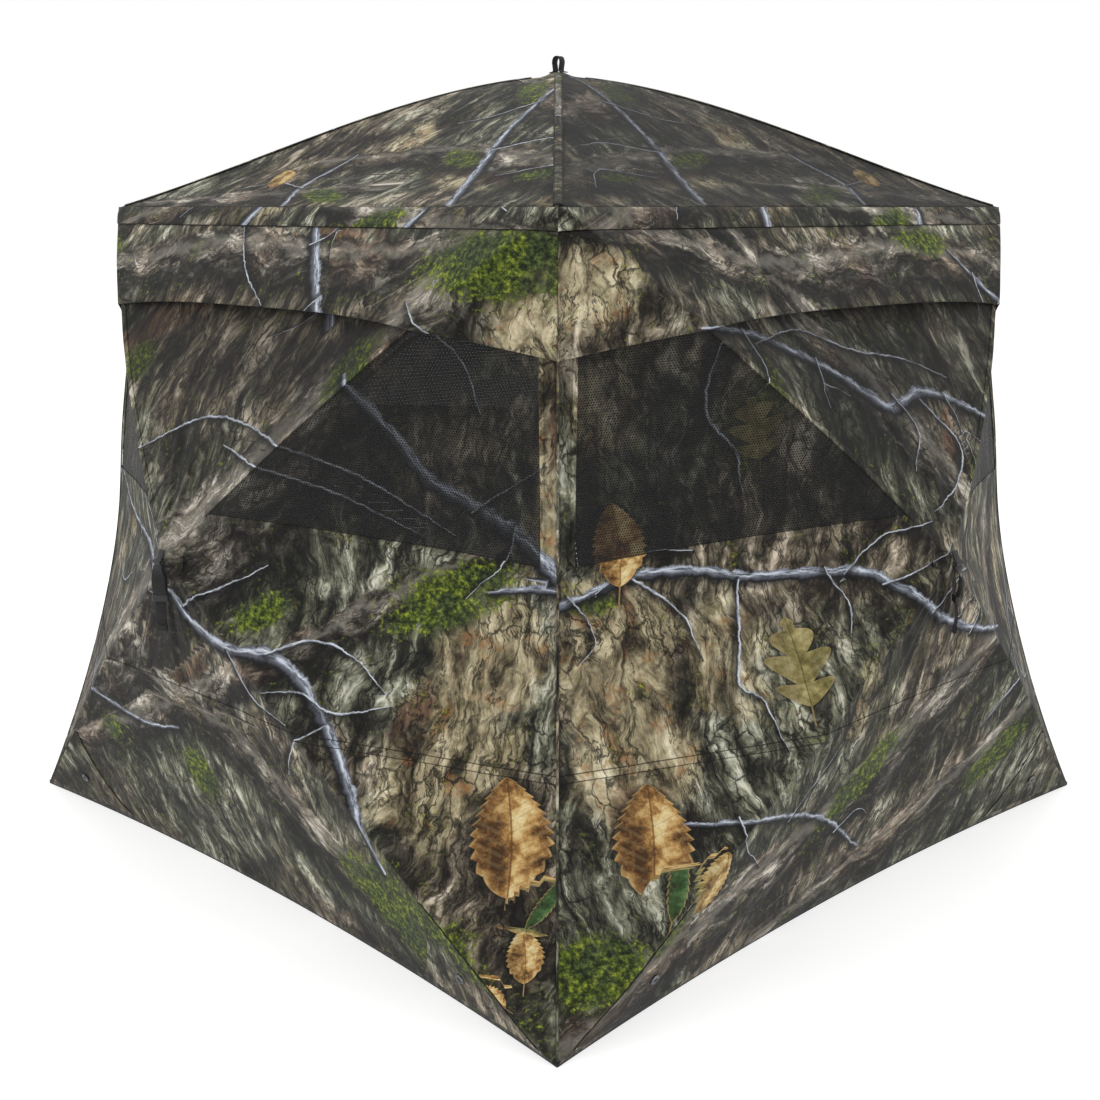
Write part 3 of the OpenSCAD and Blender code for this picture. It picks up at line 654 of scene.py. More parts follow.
class Graph:
    """One material's nodes. An input is a number, a tuple or a Value."""

    def __init__(self, name):
        self.material = bpy.data.materials.new(name)
        self.material.use_nodes = True
        self.tree = self.material.node_tree
        self.tree.nodes.clear()

    def node(self, kind, inputs=None, output=0, **settings):
        made = self.tree.nodes.new("ShaderNode" + kind)
        for key, value in settings.items():
            setattr(made, key, value)
        for key, value in (inputs or {}).items():
            if isinstance(value, Value):
                self.tree.links.new(value.socket, made.inputs[key])
            else:
                made.inputs[key].default_value = value
        return Value(self, made.outputs[output])

    def math(self, operation, a, b=0.0):
        return self.node("Math", {0: a, 1: b}, operation=operation)

    def mix(self, a, b, factor):
        return self.node("Mix", {0: factor, 6: a, 7: b}, 2, data_type="RGBA")

    def range(self, value, low, high, to_low=0.0, to_high=1.0):
        """A smooth step from one value at low to another at high."""
        return self.node("MapRange", {0: value, 1: low, 2: high, 3: to_low, 4: to_high},
                         interpolation_type="SMOOTHSTEP")

    def parts(self, vector):
        made = self.node("SeparateXYZ", {0: vector}).socket.node
        return [Value(self, output) for output in made.outputs]

    def vector(self, x, y, z=0.0):
        return self.node("CombineXYZ", {0: x, 1: y, 2: z})

    def noise(self, vector, scale, detail=4.0, roughness=0.6, distortion=0.0):
        return self.node("TexNoise", {"Vector": vector, "Scale": scale, "Detail": detail,
                                      "Roughness": roughness, "Distortion": distortion},
                         "Fac", noise_dimensions="2D")

    def solid_noise(self, vector, scale, detail):
        return self.node("TexNoise", {"Vector": vector, "Scale": scale, "Detail": detail}, "Fac")

    def attribute(self, name, output="Vector"):
        return self.node("Attribute", output=output, attribute_name=name)

    def ramp(self, value, stops):
        """Colours between stops of (value, red, green, blue)."""
        made = self.node("ValToRGB", {0: value})
        elements = made.socket.node.color_ramp.elements
        while len(elements) < len(stops):
            elements.new(0.5)
        for element, (position, *colour) in zip(elements, stops):
            element.position = position
            element.color = tint(*colour)
        return made

    def bump(self, height, strength, distance, normal=None):
        inputs = {"Height": height, "Strength": strength, "Distance": distance}
        if normal is not None:
            inputs["Normal"] = normal
        return self.node("Bump", inputs)

    def finish(self, **inputs):
        """A Principled surface with these inputs, its names' spaces as underscores."""
        shader = self.node("BsdfPrincipled", {k.replace("_", " "): v for k, v in inputs.items()})
        self.surface(shader)
        return self.material

    def surface(self, shader):
        output = self.tree.nodes.new("ShaderNodeOutputMaterial")
        self.tree.links.new(shader.socket, output.inputs["Surface"])


def bark(g, along, across, fine, seed):
    """Rough bark with its grain one way: its tone, its cracks and a slow drift."""
    place = g.vector(along + seed, across)
    wander = g.noise(place, 4.5, 4.0)
    across = across + (wander - 0.5) * 0.09

    def grain(up, over, detail, roughness, distortion=0.0):
        return g.noise(g.vector(along * (up * fine), across * (over * fine)), 1.0, detail, roughness,
                       distortion)

    def splits(value, width, low):
        ridge = abs(value - 0.5)
        return g.range(ridge, 0.0, width, low, 1.0)

    clumps = g.noise(place, 14.0, 7.0, 0.70)
    masses = g.noise(place, 4.5, 3.0, 0.5)
    tone = grain(8.0, 27.0, 9.0, 0.74, 0.5) * 0.58 + (clumps * 0.24 + masses * 0.18)
    # Small scaly plates, their edges bent by noise, and long fissures between them.
    bend = g.node("TexNoise", {"Vector": place, "Scale": 24.0, "Detail": 4.0, "Roughness": 0.6},
                  "Color", noise_dimensions="2D")
    bend_up, bend_over, _ = g.parts(bend)
    plates = g.node("TexVoronoi", {"Vector": g.vector((along + bend_up * 0.05) * (19.0 * fine),
                                                      (across + bend_over * 0.03) * (46.0 * fine)),
                                   "Scale": 1.0, "Randomness": 1.0}, "Distance", feature="DISTANCE_TO_EDGE",
                    voronoi_dimensions="2D")
    worn = g.range(g.noise(place, 8.0, 4.0, 0.6), 0.40, 0.60, 0.0, 0.75)
    scales = g.math("MAXIMUM", g.range(plates, 0.0, 0.11), worn)
    cracks = scales * splits(grain(6.0, 21.0, 8.0, 0.66, 0.3), 0.024, 0.0)
    return tone, cracks, g.noise(place, 2.6, 4.0, 0.6)


def camouflage(g):
    """The print's colour, from UV in metres on the panel and the print's vertex attributes."""
    u, v, _ = g.parts(g.node("UVMap", uv_map="UVMap"))
    place = g.vector(u, v)
    pale, dark, rust = g.parts(g.attribute("zones"))

    # The ground: standing bark, grey-green, with browner, paler and redder patches.
    tone, cracks, drift = bark(g, v, u, 1.0, 3.0)
    ground = g.ramp(tone, [(0.38, 14, 14, 12), (0.45, 36, 36, 30), (0.50, 68, 68, 57),
                           (0.55, 116, 116, 99), (0.62, 196, 195, 178)])
    brown = g.ramp(tone, [(0.38, 16, 14, 11), (0.45, 40, 35, 29), (0.50, 72, 65, 55),
                          (0.55, 122, 112, 95), (0.62, 198, 185, 166)])
    ground = g.mix(ground, brown, g.range(drift, 0.44, 0.60))
    ragged = (g.noise(place, 13.0, 7.0, 0.7) - 0.5) * 1.5
    tan = g.ramp(tone, [(0.38, 42, 36, 28), (0.44, 92, 83, 64), (0.50, 146, 135, 107),
                        (0.56, 186, 175, 145), (0.63, 220, 211, 184)])
    stain = g.noise(place, 21.0, 6.0, 0.7)
    tan = g.mix(tan, tint(146, 98, 54), g.range(stain, 0.54, 0.70) * 0.55)
    ground = g.mix(ground, tan, g.range(pale + ragged, 0.16, 0.62))
    red = g.ramp(tone, [(0.34, 38, 27, 21), (0.50, 98, 72, 56), (0.66, 160, 132, 108)])
    ground = g.mix(ground, red, g.range(rust + ragged, 0.2, 0.75, 0.0, 0.85))
    ground = g.mix(g.mix(ground, tint(11, 10, 9), 0.9), ground, cracks)
    smudges = g.noise(place, 7.0, 5.0, 0.65)
    ground = g.mix(ground, tint(24, 24, 20), g.range(smudges, 0.56, 0.72, 0.0, 0.6))
    ground = g.mix(ground, tint(14, 14, 12), g.range(dark + ragged, 0.2, 0.9, 0.0, 0.8))

    # Logs, with grain along them, lit from above and shading what is below them.
    run, offset, radius = g.parts(g.attribute("logs"))
    far = g.attribute("logs_far", "Fac")
    rough_edge = (g.noise(place, 18.0, 7.0, 0.7) - 0.5) * 0.075
    turned = (offset + rough_edge) / radius
    tone, cracks, drift = bark(g, run, offset, 1.3, 7.0)
    log = g.ramp(tone, [(0.38, 13, 12, 11), (0.45, 36, 33, 30), (0.50, 68, 64, 57),
                        (0.55, 118, 111, 100), (0.62, 202, 195, 182)])
    warm = g.ramp(tone, [(0.38, 20, 16, 13), (0.45, 50, 41, 34), (0.50, 88, 74, 62),
                         (0.55, 130, 113, 97), (0.62, 188, 172, 152)])
    log = g.mix(log, warm, g.range(drift, 0.50, 0.62, 0.0, 0.8))
    log = g.mix(g.mix(log, tint(10, 9, 8), 0.9), log, cracks)
    log = g.mix(log, tint(196, 190, 176), g.range(abs(turned - 0.45), 0.45, 0.0, 0.0, 0.16))
    log = g.mix(log, tint(12, 11, 10), g.range(turned, 0.15, -0.9, 0.0, 0.85))
    near_log = g.math("LESS_THAN", far, radius + 0.045)
    below = g.range(turned, -2.1, -0.9, 0.0, 0.85) * near_log
    ground = g.mix(ground, tint(12, 12, 10), below * g.range(turned, 0.4, 0.0))
    on_log = g.range(abs(turned), 1.15, 0.85) * near_log
    colour = g.mix(ground, log, on_log)

    # Moss, in tufts.
    tufts = g.noise(place, 95.0, 5.0, 0.75)
    hue = g.noise(place, 16.0, 3.0)
    green = g.ramp(tufts, [(0.34, 14, 20, 7), (0.46, 44, 56, 16), (0.56, 84, 98, 26),
                           (0.70, 146, 152, 52)])
    deep = g.ramp(tufts, [(0.34, 10, 15, 7), (0.48, 34, 46, 20), (0.70, 92, 104, 52)])
    green = g.mix(green, deep, g.range(hue, 0.45, 0.60))
    moss = g.attribute("moss", "Fac") + ragged * 0.8
    scatter = (tufts - 0.5) * 1.3
    colour = g.mix(colour, green, g.range(moss + scatter, 0.12, 0.60, 0.0, 0.92))

    # Branches: a dark underside, a grey-blue body and a pale, broken highlight.
    for key, lit, body in (("branches", tint(206, 213, 224), tint(104, 108, 118)),
                           ("twigs", tint(216, 223, 233), tint(146, 150, 158))):
        run, offset, radius = g.parts(g.attribute(key))
        far = g.attribute(key + "_far", "Fac")
        knots = g.noise(g.vector(run * 26.0, 0.0), 1.0, 5.0, 0.75)
        bent = g.noise(g.vector(run * 34.0, 5.0), 1.0, 4.0, 0.6)
        offset = offset + (bent - 0.5) * 0.010
        radius = radius * g.range(knots, 0.3, 0.7, 0.62, 1.35)
        turned = offset / radius
        gate = g.math("LESS_THAN", far, radius + 0.016)
        shade = g.range(offset + radius, -0.016, 0.0, 0.0, 0.75) * gate
        shade = shade * g.range(turned, 0.3, 0.0)
        colour = g.mix(colour, tint(10, 10, 11), shade)
        wood = g.mix(tint(20, 20, 23), body, g.range(turned, -0.9, 0.2))
        grain = g.noise(g.vector(run * 24.0, offset * 170.0), 1.0, 8.0, 0.78)
        wood = g.mix(g.mix(wood, tint(24, 24, 27), 0.6), wood, g.range(grain, 0.36, 0.52))
        glint = g.range(abs(turned - 0.40), 0.6, 0.05) * g.range(grain, 0.40, 0.62, 0.0, 0.85)
        wood = g.mix(wood, lit, glint)
        on_branch = g.range(abs(turned), 1.10, 0.88) * g.math("LESS_THAN", far, radius + 0.011)
        colour = g.mix(colour, wood, on_branch)

    # Leaves: a toothed or lobed outline, a midrib and side veins.
    across, along, kind = g.parts(g.attribute("leaves"))
    bend = g.math("SINE", along * 3.0) * 0.035
    across = across + bend
    side = abs(across)
    stretch = (along - 0.10) / 0.90
    body = g.math("POWER", g.math("SINE", g.math("POWER", g.math("MAXIMUM", g.math("MINIMUM", stretch, 1.0),
                                                                 0.0), 0.9) * math.pi), 0.72)
    slope = along - side * 0.55
    teeth = g.math("FRACT", slope * 12.0)
    lobes = abs(g.math("SINE", slope * 11.0)) * 0.26
    lobed = g.range(kind, 0.6, 0.7)
    slim = g.range(kind, 0.85, 0.95, 1.0, 0.42)
    plain = body * (0.295 + teeth * -0.045)
    cut = body * (0.10 + lobes)
    is_lobed = lobed * g.range(kind, 0.95, 0.85)
    width = plain * (1.0 - is_lobed) + cut * is_lobed
    width = g.math("MAXIMUM", width * slim, g.range(along, 0.16, 0.15, 0.0, 0.012))
    margin = width - side
    close = g.math("LESS_THAN", g.attribute("leaves_far", "Fac"), 0.60)
    inside = g.range(margin, 0.0, 0.010) * close
    leaf_place = g.vector(across * 5.0, along * 5.0 + kind * 9.0)
    blotch = g.noise(leaf_place, 0.75, 8.0, 0.7)
    dry = g.ramp(blotch, [(0.36, 58, 38, 20), (0.44, 116, 82, 44), (0.51, 160, 122, 70),
                          (0.58, 188, 160, 106), (0.68, 208, 194, 150)])
    olive = g.ramp(blotch, [(0.36, 92, 86, 44), (0.5, 136, 126, 74), (0.66, 186, 174, 124)])
    fresh = g.ramp(blotch, [(0.34, 16, 38, 20), (0.52, 40, 76, 40), (0.72, 96, 124, 78)])
    leaf = g.mix(dry, olive, g.range(kind, 0.3, 0.8))
    leaf = g.mix(leaf, fresh, g.range(kind, 0.85, 0.95))
    veins = g.math("PINGPONG", slope * 12.0, 0.5)
    leaf = g.mix(leaf, tint(84, 56, 30), g.range(veins, 0.12, 0.0) * 0.28)
    puffs = g.range(veins, 0.20, 0.42) * g.range(side, 0.0, 0.12)
    leaf = g.mix(leaf, tint(206, 182, 132), puffs * 0.10)
    leaf = g.mix(leaf, tint(60, 38, 20), g.range(across, -0.02, 0.14) * 0.30)
    leaf = g.mix(leaf, tint(72, 48, 26), g.range(side, 0.009, 0.003) * 0.7)
    leaf = g.mix(leaf, tint(176, 146, 96), g.range(margin, 0.022, 0.006) * 0.5)
    ghost = is_lobed * 0.25
    shadow = g.range(margin, -0.07, 0.0, 0.0, 0.65) * close
    colour = g.mix(colour, tint(12, 11, 9), shadow * (1.0 - ghost))
    colour = g.mix(colour, leaf, inside * (1.0 - ghost))
    return colour, place


def weave_bump(g, place, pitch, strength, distance):
    """A plain weave of that pitch, as bump."""
    x, y, _ = g.parts(place)
    warp = g.math("SINE", x * (2 * math.pi / pitch))
    weft = g.math("SINE", y * (2 * math.pi / pitch))
    return g.bump(warp * weft, strength, distance)


def camouflage_cloth():
    g = Graph("camouflage_cloth")
    colour, place = camouflage(g)
    # Painted shade: the shade attribute darkens the print towards near-black, below the brows and on the
    # roof gores.
    colour = g.mix(colour, tint(9, 9, 9), g.attribute("shade", "Fac"))
    _, across, sewn = g.parts(g.attribute("stitch"))
    edge = g.range(abs(across), 0.0048, 0.0062) * sewn
    colour = g.mix(colour, tint(10, 10, 9), edge * 0.75)
    weave = weave_bump(g, place, 0.0016, 0.35, 0.0003)
    folds = g.noise(place, 26.0, 4.0, 0.55)
    normal = g.bump(folds, 0.25, 0.0035, weave)
    return g.finish(Base_Color=colour, Roughness=0.85, Normal=normal, Sheen_Weight=0.05,
                    Sheen_Roughness=0.5, Specular_IOR_Level=0.2)


def window_mesh():
    """Printed net, darkened as painted shade for the dark inside behind it, with a staggered grid of round
    holes.
    """
    g = Graph("window_mesh")
    colour, place = camouflage(g)
    # Painted shade: the print is darkened most of the way to near-black, standing in for the dark inside
    # seen through the net.
    colour = g.mix(colour, tint(5, 6, 6), 0.82)
    pitch = 0.0042
    x, y, _ = g.parts(place)
    row = g.math("FLOOR", y / pitch)
    shifted_x = x / pitch + row * 0.5
    hole_x = g.math("FRACT", shifted_x) - 0.5
    hole_y = g.math("FRACT", y / pitch) - 0.5
    away = g.math("SQRT", hole_x * hole_x + hole_y * hole_y)
    hole = g.range(away, 0.34, 0.26)
    # Painted shade: the holes are filled with near-black for the dark inside behind them, and they are also
    # partly see-through.
    colour = g.mix(colour, tint(5, 5, 5), hole * 0.9)
    solid = g.range(away, 0.26, 0.34, 0.72, 1.0)
    normal = g.bump(away, 0.5, 0.0006)
    cloth_shader = g.node("BsdfPrincipled", {"Base Color": colour, "Roughness": 0.75, "Normal": normal,
                                             "Specular IOR Level": 0.3, "Alpha": solid})
    g.surface(cloth_shader)
    return g.material


def black_backing():
    """The dark coating on the inside of the cloth."""
    g = Graph("black_backing")
    place = g.node("UVMap", uv_map="UVMap")
    normal = weave_bump(g, place, 0.0016, 0.3, 0.0002)
    wear = g.noise(place, 9.0, 4.0)
    colour = g.ramp(wear, [(0.3, 20, 20, 21), (0.7, 32, 32, 33)])
    return g.finish(Base_Color=colour, Roughness=0.7, Normal=normal, Specular_IOR_Level=0.3)


def woven_black(name, dark_colour, light_colour, pitch, roughness):
    """Black webbing or binding: ribs by object position."""
    g = Graph(name)
    place = g.node("TexCoord", output="Object")
    x, y, z = g.parts(place)
    turns = 2 * math.pi / pitch
    ribs = g.math("SINE", (x + y) * turns) * g.math("SINE", z * turns)
    wear = g.solid_noise(place, 60.0, 4.0)
    colour = g.ramp(ribs * 0.2 + wear, [(0.35, *dark_colour), (0.75, *light_colour)])
    return g.finish(Base_Color=colour, Roughness=roughness, Normal=g.bump(ribs, 0.6, 0.0005),
                    Sheen_Weight=0.15, Specular_IOR_Level=0.35)


def metal(name, colour, shade, roughness):
    g = Graph(name)
    place = g.node("TexCoord", output="Object")
    fine = g.solid_noise(place, 900.0, 3.0)
    marks = g.solid_noise(place, 140.0, 5.0)
    worn = g.range(marks, 0.35, 0.7)
    return g.finish(Base_Color=g.mix(colour, shade, worn), Metallic=1.0, Roughness=fine * 0.15 + roughness,
                    Normal=g.bump(marks, 0.1, 0.0003))


def moulded_nylon():
    g = Graph("moulded_nylon")
    place = g.node("TexCoord", output="Object")
    grain = g.solid_noise(place, 1400.0, 2.0)
    tone = g.solid_noise(place, 30.0, 3.0)
    colour = g.ramp(tone, [(0.3, 12, 12, 13), (0.7, 24, 24, 25)])
    return g.finish(Base_Color=colour, Roughness=0.48, Normal=g.bump(grain, 0.35, 0.0003))


def fibreglass_pole():
    g = Graph("fibreglass_pole")
    place = g.node("TexCoord", output="Object")
    fibres = g.solid_noise(place, 240.0, 4.0)
    colour = g.ramp(fibres, [(0.3, 34, 36, 36), (0.7, 62, 64, 62)])
    return g.finish(Base_Color=colour, Roughness=0.32, Normal=g.bump(fibres, 0.15, 0.0003),
                    Coat_Weight=0.3, Coat_Roughness=0.2)


def pale_floor():
    g = Graph("pale_floor")
    place = g.node("TexCoord", output="Object")
    faint = g.solid_noise(place, 2.0, 3.0)
    return g.finish(Base_Color=g.ramp(faint, [(0.3, 186, 186, 185), (0.7, 190, 190, 189)]),
                    Roughness=1.0, Specular_IOR_Level=0.0, Emission_Color=(1.0, 1.0, 1.0, 1.0),
                    Emission_Strength=0.66)


CAMOUFLAGE = camouflage_cloth()
NET = window_mesh()
BACKING = black_backing()
WEBBING = woven_black("black_webbing", (5, 5, 6), (17, 17, 19), 0.0022, 0.75)
BINDING = woven_black("black_binding", (10, 10, 14), (26, 27, 34), 0.0014, 0.8)
EYELET = metal("plated_eyelet", tint(120, 122, 124), tint(70, 72, 74), 0.28)
ZIP_METAL = metal("zip_metal", tint(96, 96, 96), tint(54, 54, 55), 0.35)
STEEL = metal("steel_pin", tint(168, 168, 166), tint(120, 120, 118), 0.25)
NYLON = moulded_nylon()
FIBREGLASS = fibreglass_pole()


# ---------- wall cloth and windows ----------

CELL = 0.0105
SIDE_CELLS = 70
STRIP_CELLS = 4
MIDDLE_CELLS = 140
WALL_SHIFT = 4.0


def levels(*stops):
    """Levels about a cell apart, with each stop among them."""
    rows = [stops[0]]
    for low, high in zip(stops, stops[1:]):
        count = max(1, round((high - low) * slant / CELL))
        rows += list(np.linspace(low, high, count + 1)[1:])
    return np.array(rows)


def door_shares(level):
    """Where the door's zipped edge, its hinge line and the hinge tape's far edge cross a level."""
    width = facet_width(level)
    margin = np.minimum(0.15, DOOR_MARGIN / width)
    line = (level_half(level) - HINGE_INSET - crease(level, DOOR_WALL)[0]) / width
    line = np.clip(line, margin + 0.1, 0.96)
    return margin, line, np.minimum(line + HINGE_TAPE / width, 0.985)


def spread(stops, counts):
    """Rows of shares across a facet, cut into equal cells between its stops at each level."""
    columns = [stops[0][:, None]]
    for low, high, count in zip(stops, stops[1:], counts):
        f = np.arange(1, count + 1) / count
        columns.append(mix(low[:, None], high[:, None], f[None, :]))
    return np.concatenate(columns, 1)


def window_shares(level):
    return np.maximum(0.5, 1 - STRIP_WIDTH / facet_width(level))


def dipped(level, station):
    """Levels near the sill, lowered towards the corners."""
    across = np.clip(np.abs(station) - 1, 0, 1)
    near = np.exp(-((level - SILL_LEVEL) / 0.035) ** 2)
    return level + near * (0.003 - SILL_DROP * across ** 2.5)


def hollows(panel, level, station):
    """Soft unevenness of stretched cloth, in metres out of its smooth shape."""
    level, station = np.broadcast_arrays(np.asarray(level, float), station)
    place = wall_place(panel, level, station)
    x, y = place[..., 0], place[..., 1]
    across = np.clip(np.abs(station) - 1, 0, 1)
    inner = np.clip(station, -1, 1)
    seed = 11 + panel
    soft = 0.0022 * value_noise(4 * x + 3, 5 * y, seed) + 0.0012 * value_noise(11 * x, 9 * y, seed + 1)
    away = np.hypot(x, y - hub_up)
    angle = np.arctan2(y - hub_up, x)
    fan = 0.0045 * value_noise(9 * np.cos(angle) + 20, 9 * np.sin(angle) + 20, seed + 2)
    fan = fan * np.exp(-away / 0.28) * smooth(away, 0.03, 0.10)
    hem_folds = 0.0045 * value_noise(10 * x, 2 * y, seed + 3) * np.exp(-y / 0.14)
    puckers = sum(0.0016 * value_noise(30 * x, 3 * y, seed + 4) * np.exp(-np.abs(level - at) * slant
                                                                         / 0.035)
                  for at in (SEAM_LEVEL, SILL_LEVEL))
    drag = 0.0035 * value_noise(24 * (x * 0.5 - y * 0.2), 3 * (x + y), seed + 5)
    drag = drag * smooth(np.abs(x), 0.35, 0.8) * smooth(y, 0.35, 0.02)
    fade = (1 - across ** 6) * smooth(level, 0.0, 0.03) * smooth(1 - level, 0.0, 0.03)
    behind_brow = smooth(level, 0.72, 0.86) * smooth(1 - level, 0.0, 0.10)
    hollow = -0.024 * behind_brow * (1 - inner ** 2) * (1 - across) ** 2
    sag_in = -0.010 * smooth(level, 0.56, 0.66) * smooth(0.95 - level, 0.0, 0.12) * across * (1
                                                                                              - across) * 4
    return (soft + fan + hem_folds + puckers + drag) * fade + hollow + sag_in


def wall_points(panel, level, station, off=0.0, crinkled=True):
    """(row-frame points, places on the panel) of a wall's cloth."""
    level = dipped(level, station)
    extra = hollows(panel, level, station) if crinkled else 0.0
    place = wall_place(panel, level, station, np.asarray(off) + extra)
    return from_wall(place, panel), place[..., :2]


def bend_with_hub(piece, panel):
    """Bakes a wall piece's placement into its points; the hub's travel from start to end is worked out but
    not used.
    """
    start = from_wall(np.array([0.0, hub_up, 0.0]), panel)
    end = from_wall(np.array([0.0, hub_up, WALL_POP]), panel)
    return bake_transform(piece)


EYELET_LEVEL = 0.055
EYELET_STATION = 0.84
EYELET_STAND = 0.0031
WALL_CUTOUT = 0.008
PATCH_CUTOUT = 0.0068


def eyelet_place(panel, side):
    return wall_place(panel, EYELET_LEVEL, EYELET_STATION * side, EYELET_STAND)


def without_eyelets(panel, place, keep, clear):
    """Leaves out the grid cells within a distance of the eyelets."""
    middle = (place[:-1, :-1, :2] + place[1:, 1:, :2]) / 2
    for side in (-1, 1):
        spot = eyelet_place(panel, side)[:2]
        keep &= np.hypot(*np.moveaxis(middle - spot, -1, 0)) > clear
    return keep


def wall_cloth(panel):
    door = panel == DOOR_WALL
    stops = [0.003, SEAM_LEVEL, HUB_SHARE, SILL_LEVEL, MESH_TOP_LEVEL, 1.0]
    level = levels(*sorted(stops + ([DOOR_LOW, DOOR_HIGH] if door else [])))
    plain = spread([0 * level, window_shares(level), 0 * level + 1], [SIDE_CELLS, STRIP_CELLS])
    right = plain
    if door:
        margin, line, tape = door_shares(level)
        right = spread([0 * level, margin, line, tape, 0 * level + 1], [2, SIDE_CELLS - 6, 2, 6])
    middle = np.linspace(-1, 1, MIDDLE_CELLS + 1)[1:-1] + 0 * level[:, None]
    station = np.concatenate([-1 - plain[:, ::-1], middle, 1 + right], 1)
    points, place = wall_points(panel, level[:, None] + 0 * station, station)
    centre = (level[:-1] + level[1:]) / 2
    keep = np.ones((len(level) - 1, station.shape[1] - 1), bool)
    in_window = (centre > SILL_LEVEL) & (centre < MESH_TOP_LEVEL)
    keep[np.ix_(in_window, np.arange(STRIP_CELLS, STRIP_CELLS + SIDE_CELLS))] = False
    first = STRIP_CELLS + SIDE_CELLS + MIDDLE_CELLS
    if door:
        in_door = (centre > DOOR_LOW) & (centre < DOOR_HIGH)
        keep[np.ix_(in_door, np.arange(first + 2, first + 2 + SIDE_CELLS - 4))] = False
    else:
        keep[np.ix_(in_window, np.arange(first, first + SIDE_CELLS))] = False
    keep = without_eyelets(panel, place, keep, WALL_CUTOUT)
    # Painted shade: the cloth is darkened more and more from the sill up towards the brow, standing in for
    # the brow's shadow.
    shade = 0.58 * smooth(level, 0.58, 0.80)[:, None] + 0 * station
    piece = cloth(WALLS[panel] + "_wall_cloth", points, place, PRINTS[panel], [CAMOUFLAGE, BACKING],
                  WALL_SHIFT * panel, keep, shade=shade)
    bend_with_hub(piece, panel)
    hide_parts(WALLS[panel] + "_wall_skin")


def window(panel, side):
    """A see-through net between the sill and the brow, beside a corner."""
    level = levels(SILL_LEVEL, MESH_TOP_LEVEL)
    share = spread([0 * level, window_shares(level)], [SIDE_CELLS])
    station = side * (1 + share) if side > 0 else (-1 - share)[:, ::-1]
    points, place = wall_points(panel, level[:, None] + 0 * station, station, -0.0004)
    rows, columns = points.shape[:2]
    name = hand_name(panel, "window", side)
    piece = make_object(name, points.reshape(-1, 3), grid_faces(rows, columns), [NET],
                        uvs=place.reshape(-1, 2) + np.array([WALL_SHIFT * panel, 0.0]),
                        fields=print_fields(PRINTS[panel], place))
    bend_with_hub(piece, panel)
    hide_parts("window_meshes")


def brow_edge(station):
    far = np.where(np.abs(station) > 1, 0.7 + 0.3 * (np.abs(station) - 1), 0.7 * np.abs(station))
    return mix(BROW_LEVEL, BROW_CORNER_LEVEL, far ** 3)


def full_stations():
    side = np.linspace(1, 2, SIDE_CELLS + 1)
    return np.concatenate([-side[::-1], np.linspace(-1, 1, MIDDLE_CELLS + 1)[1:-1], side])


def brow(panel):
    """The taut overhanging strip, its lower edge clear of the wall."""
    station = full_stations()
    share = np.linspace(0, 1, 19)[:, None]
    level = mix(brow_edge(station), BAND_LEVEL - 0.001, share)
    stand = mix(0.0035, BROW_STAND, (BAND_LEVEL - level) / (BAND_LEVEL - BROW_LEVEL))
    x = wall_place(panel, level, station)[..., 0]
    ripple = 0.0012 * value_noise(13 * x, 8 * level, 31 + panel) * smooth(share, 0.0, 0.25)
    points, place = wall_points(panel, level, station + 0 * level, stand + ripple, crinkled=False)
    piece = cloth(WALLS[panel] + "_brow", points, place, PRINTS[panel], [CAMOUFLAGE, BACKING],
                  WALL_SHIFT * panel, thickness=0.0018)
    bend_with_hub(piece, panel)
    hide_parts("brow_valance")


def eave_band(panel):
    station = full_stations()
    level = np.linspace(BAND_LEVEL, 1.0, 6)[:, None] + 0 * station
    off = mix(0.0055, 0.002, smooth(level, 0.985, 1.0))
    points, place = wall_points(panel, level, station + 0 * level, off, crinkled=False)
    shift = WALL_SHIFT * panel + 1.3
    piece = cloth(WALLS[panel] + "_eave_band", points, place, shifted(PRINT_ROOF, 0.1, 1.24),
                  [CAMOUFLAGE, BACKING], shift, thickness=0.002)
    bend_with_hub(piece, panel)
    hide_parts("eave_band")


# ---------- seams, in stitched strips of doubled cloth ----------

def surface_strip(panel, level, station, half_width, off):
    """Places and stitch coordinates of a strip laid along a line on a wall."""
    level = dipped(level, station)
    middle = wall_place(panel, level, station, hollows(panel, level, station) + off)
    step = 0.004
    up = (wall_place(panel, np.minimum(level + step, 1), station)
          - wall_place(panel, np.maximum(level - step, 0), station))
    over = (wall_place(panel, level, np.minimum(station + step, 2))
            - wall_place(panel, level, np.maximum(station - step, -2)))
    normal = np.cross(over, up)
    normal /= np.linalg.norm(normal, axis=-1, keepdims=True) + 1e-12
    along = directions(middle)
    across = np.cross(normal, along)
    run = lengths_along(middle)
    shares = np.array([-1.0, -0.85, -0.4, 0.0, 0.4, 0.85, 1.0])
    lift = np.array([-0.0012, 0.0, 0.0004, 0.0, 0.0004, 0.0, -0.0012])
    place = (middle[None] + across[None] * (shares * half_width)[:, None, None]
             + normal[None] * lift[:, None, None])
    stitch = np.stack([np.broadcast_to(run, place.shape[:2]),
                       np.broadcast_to((shares * half_width)[:, None], place.shape[:2]),
                       np.ones(place.shape[:2])], -1)
    return place, stitch


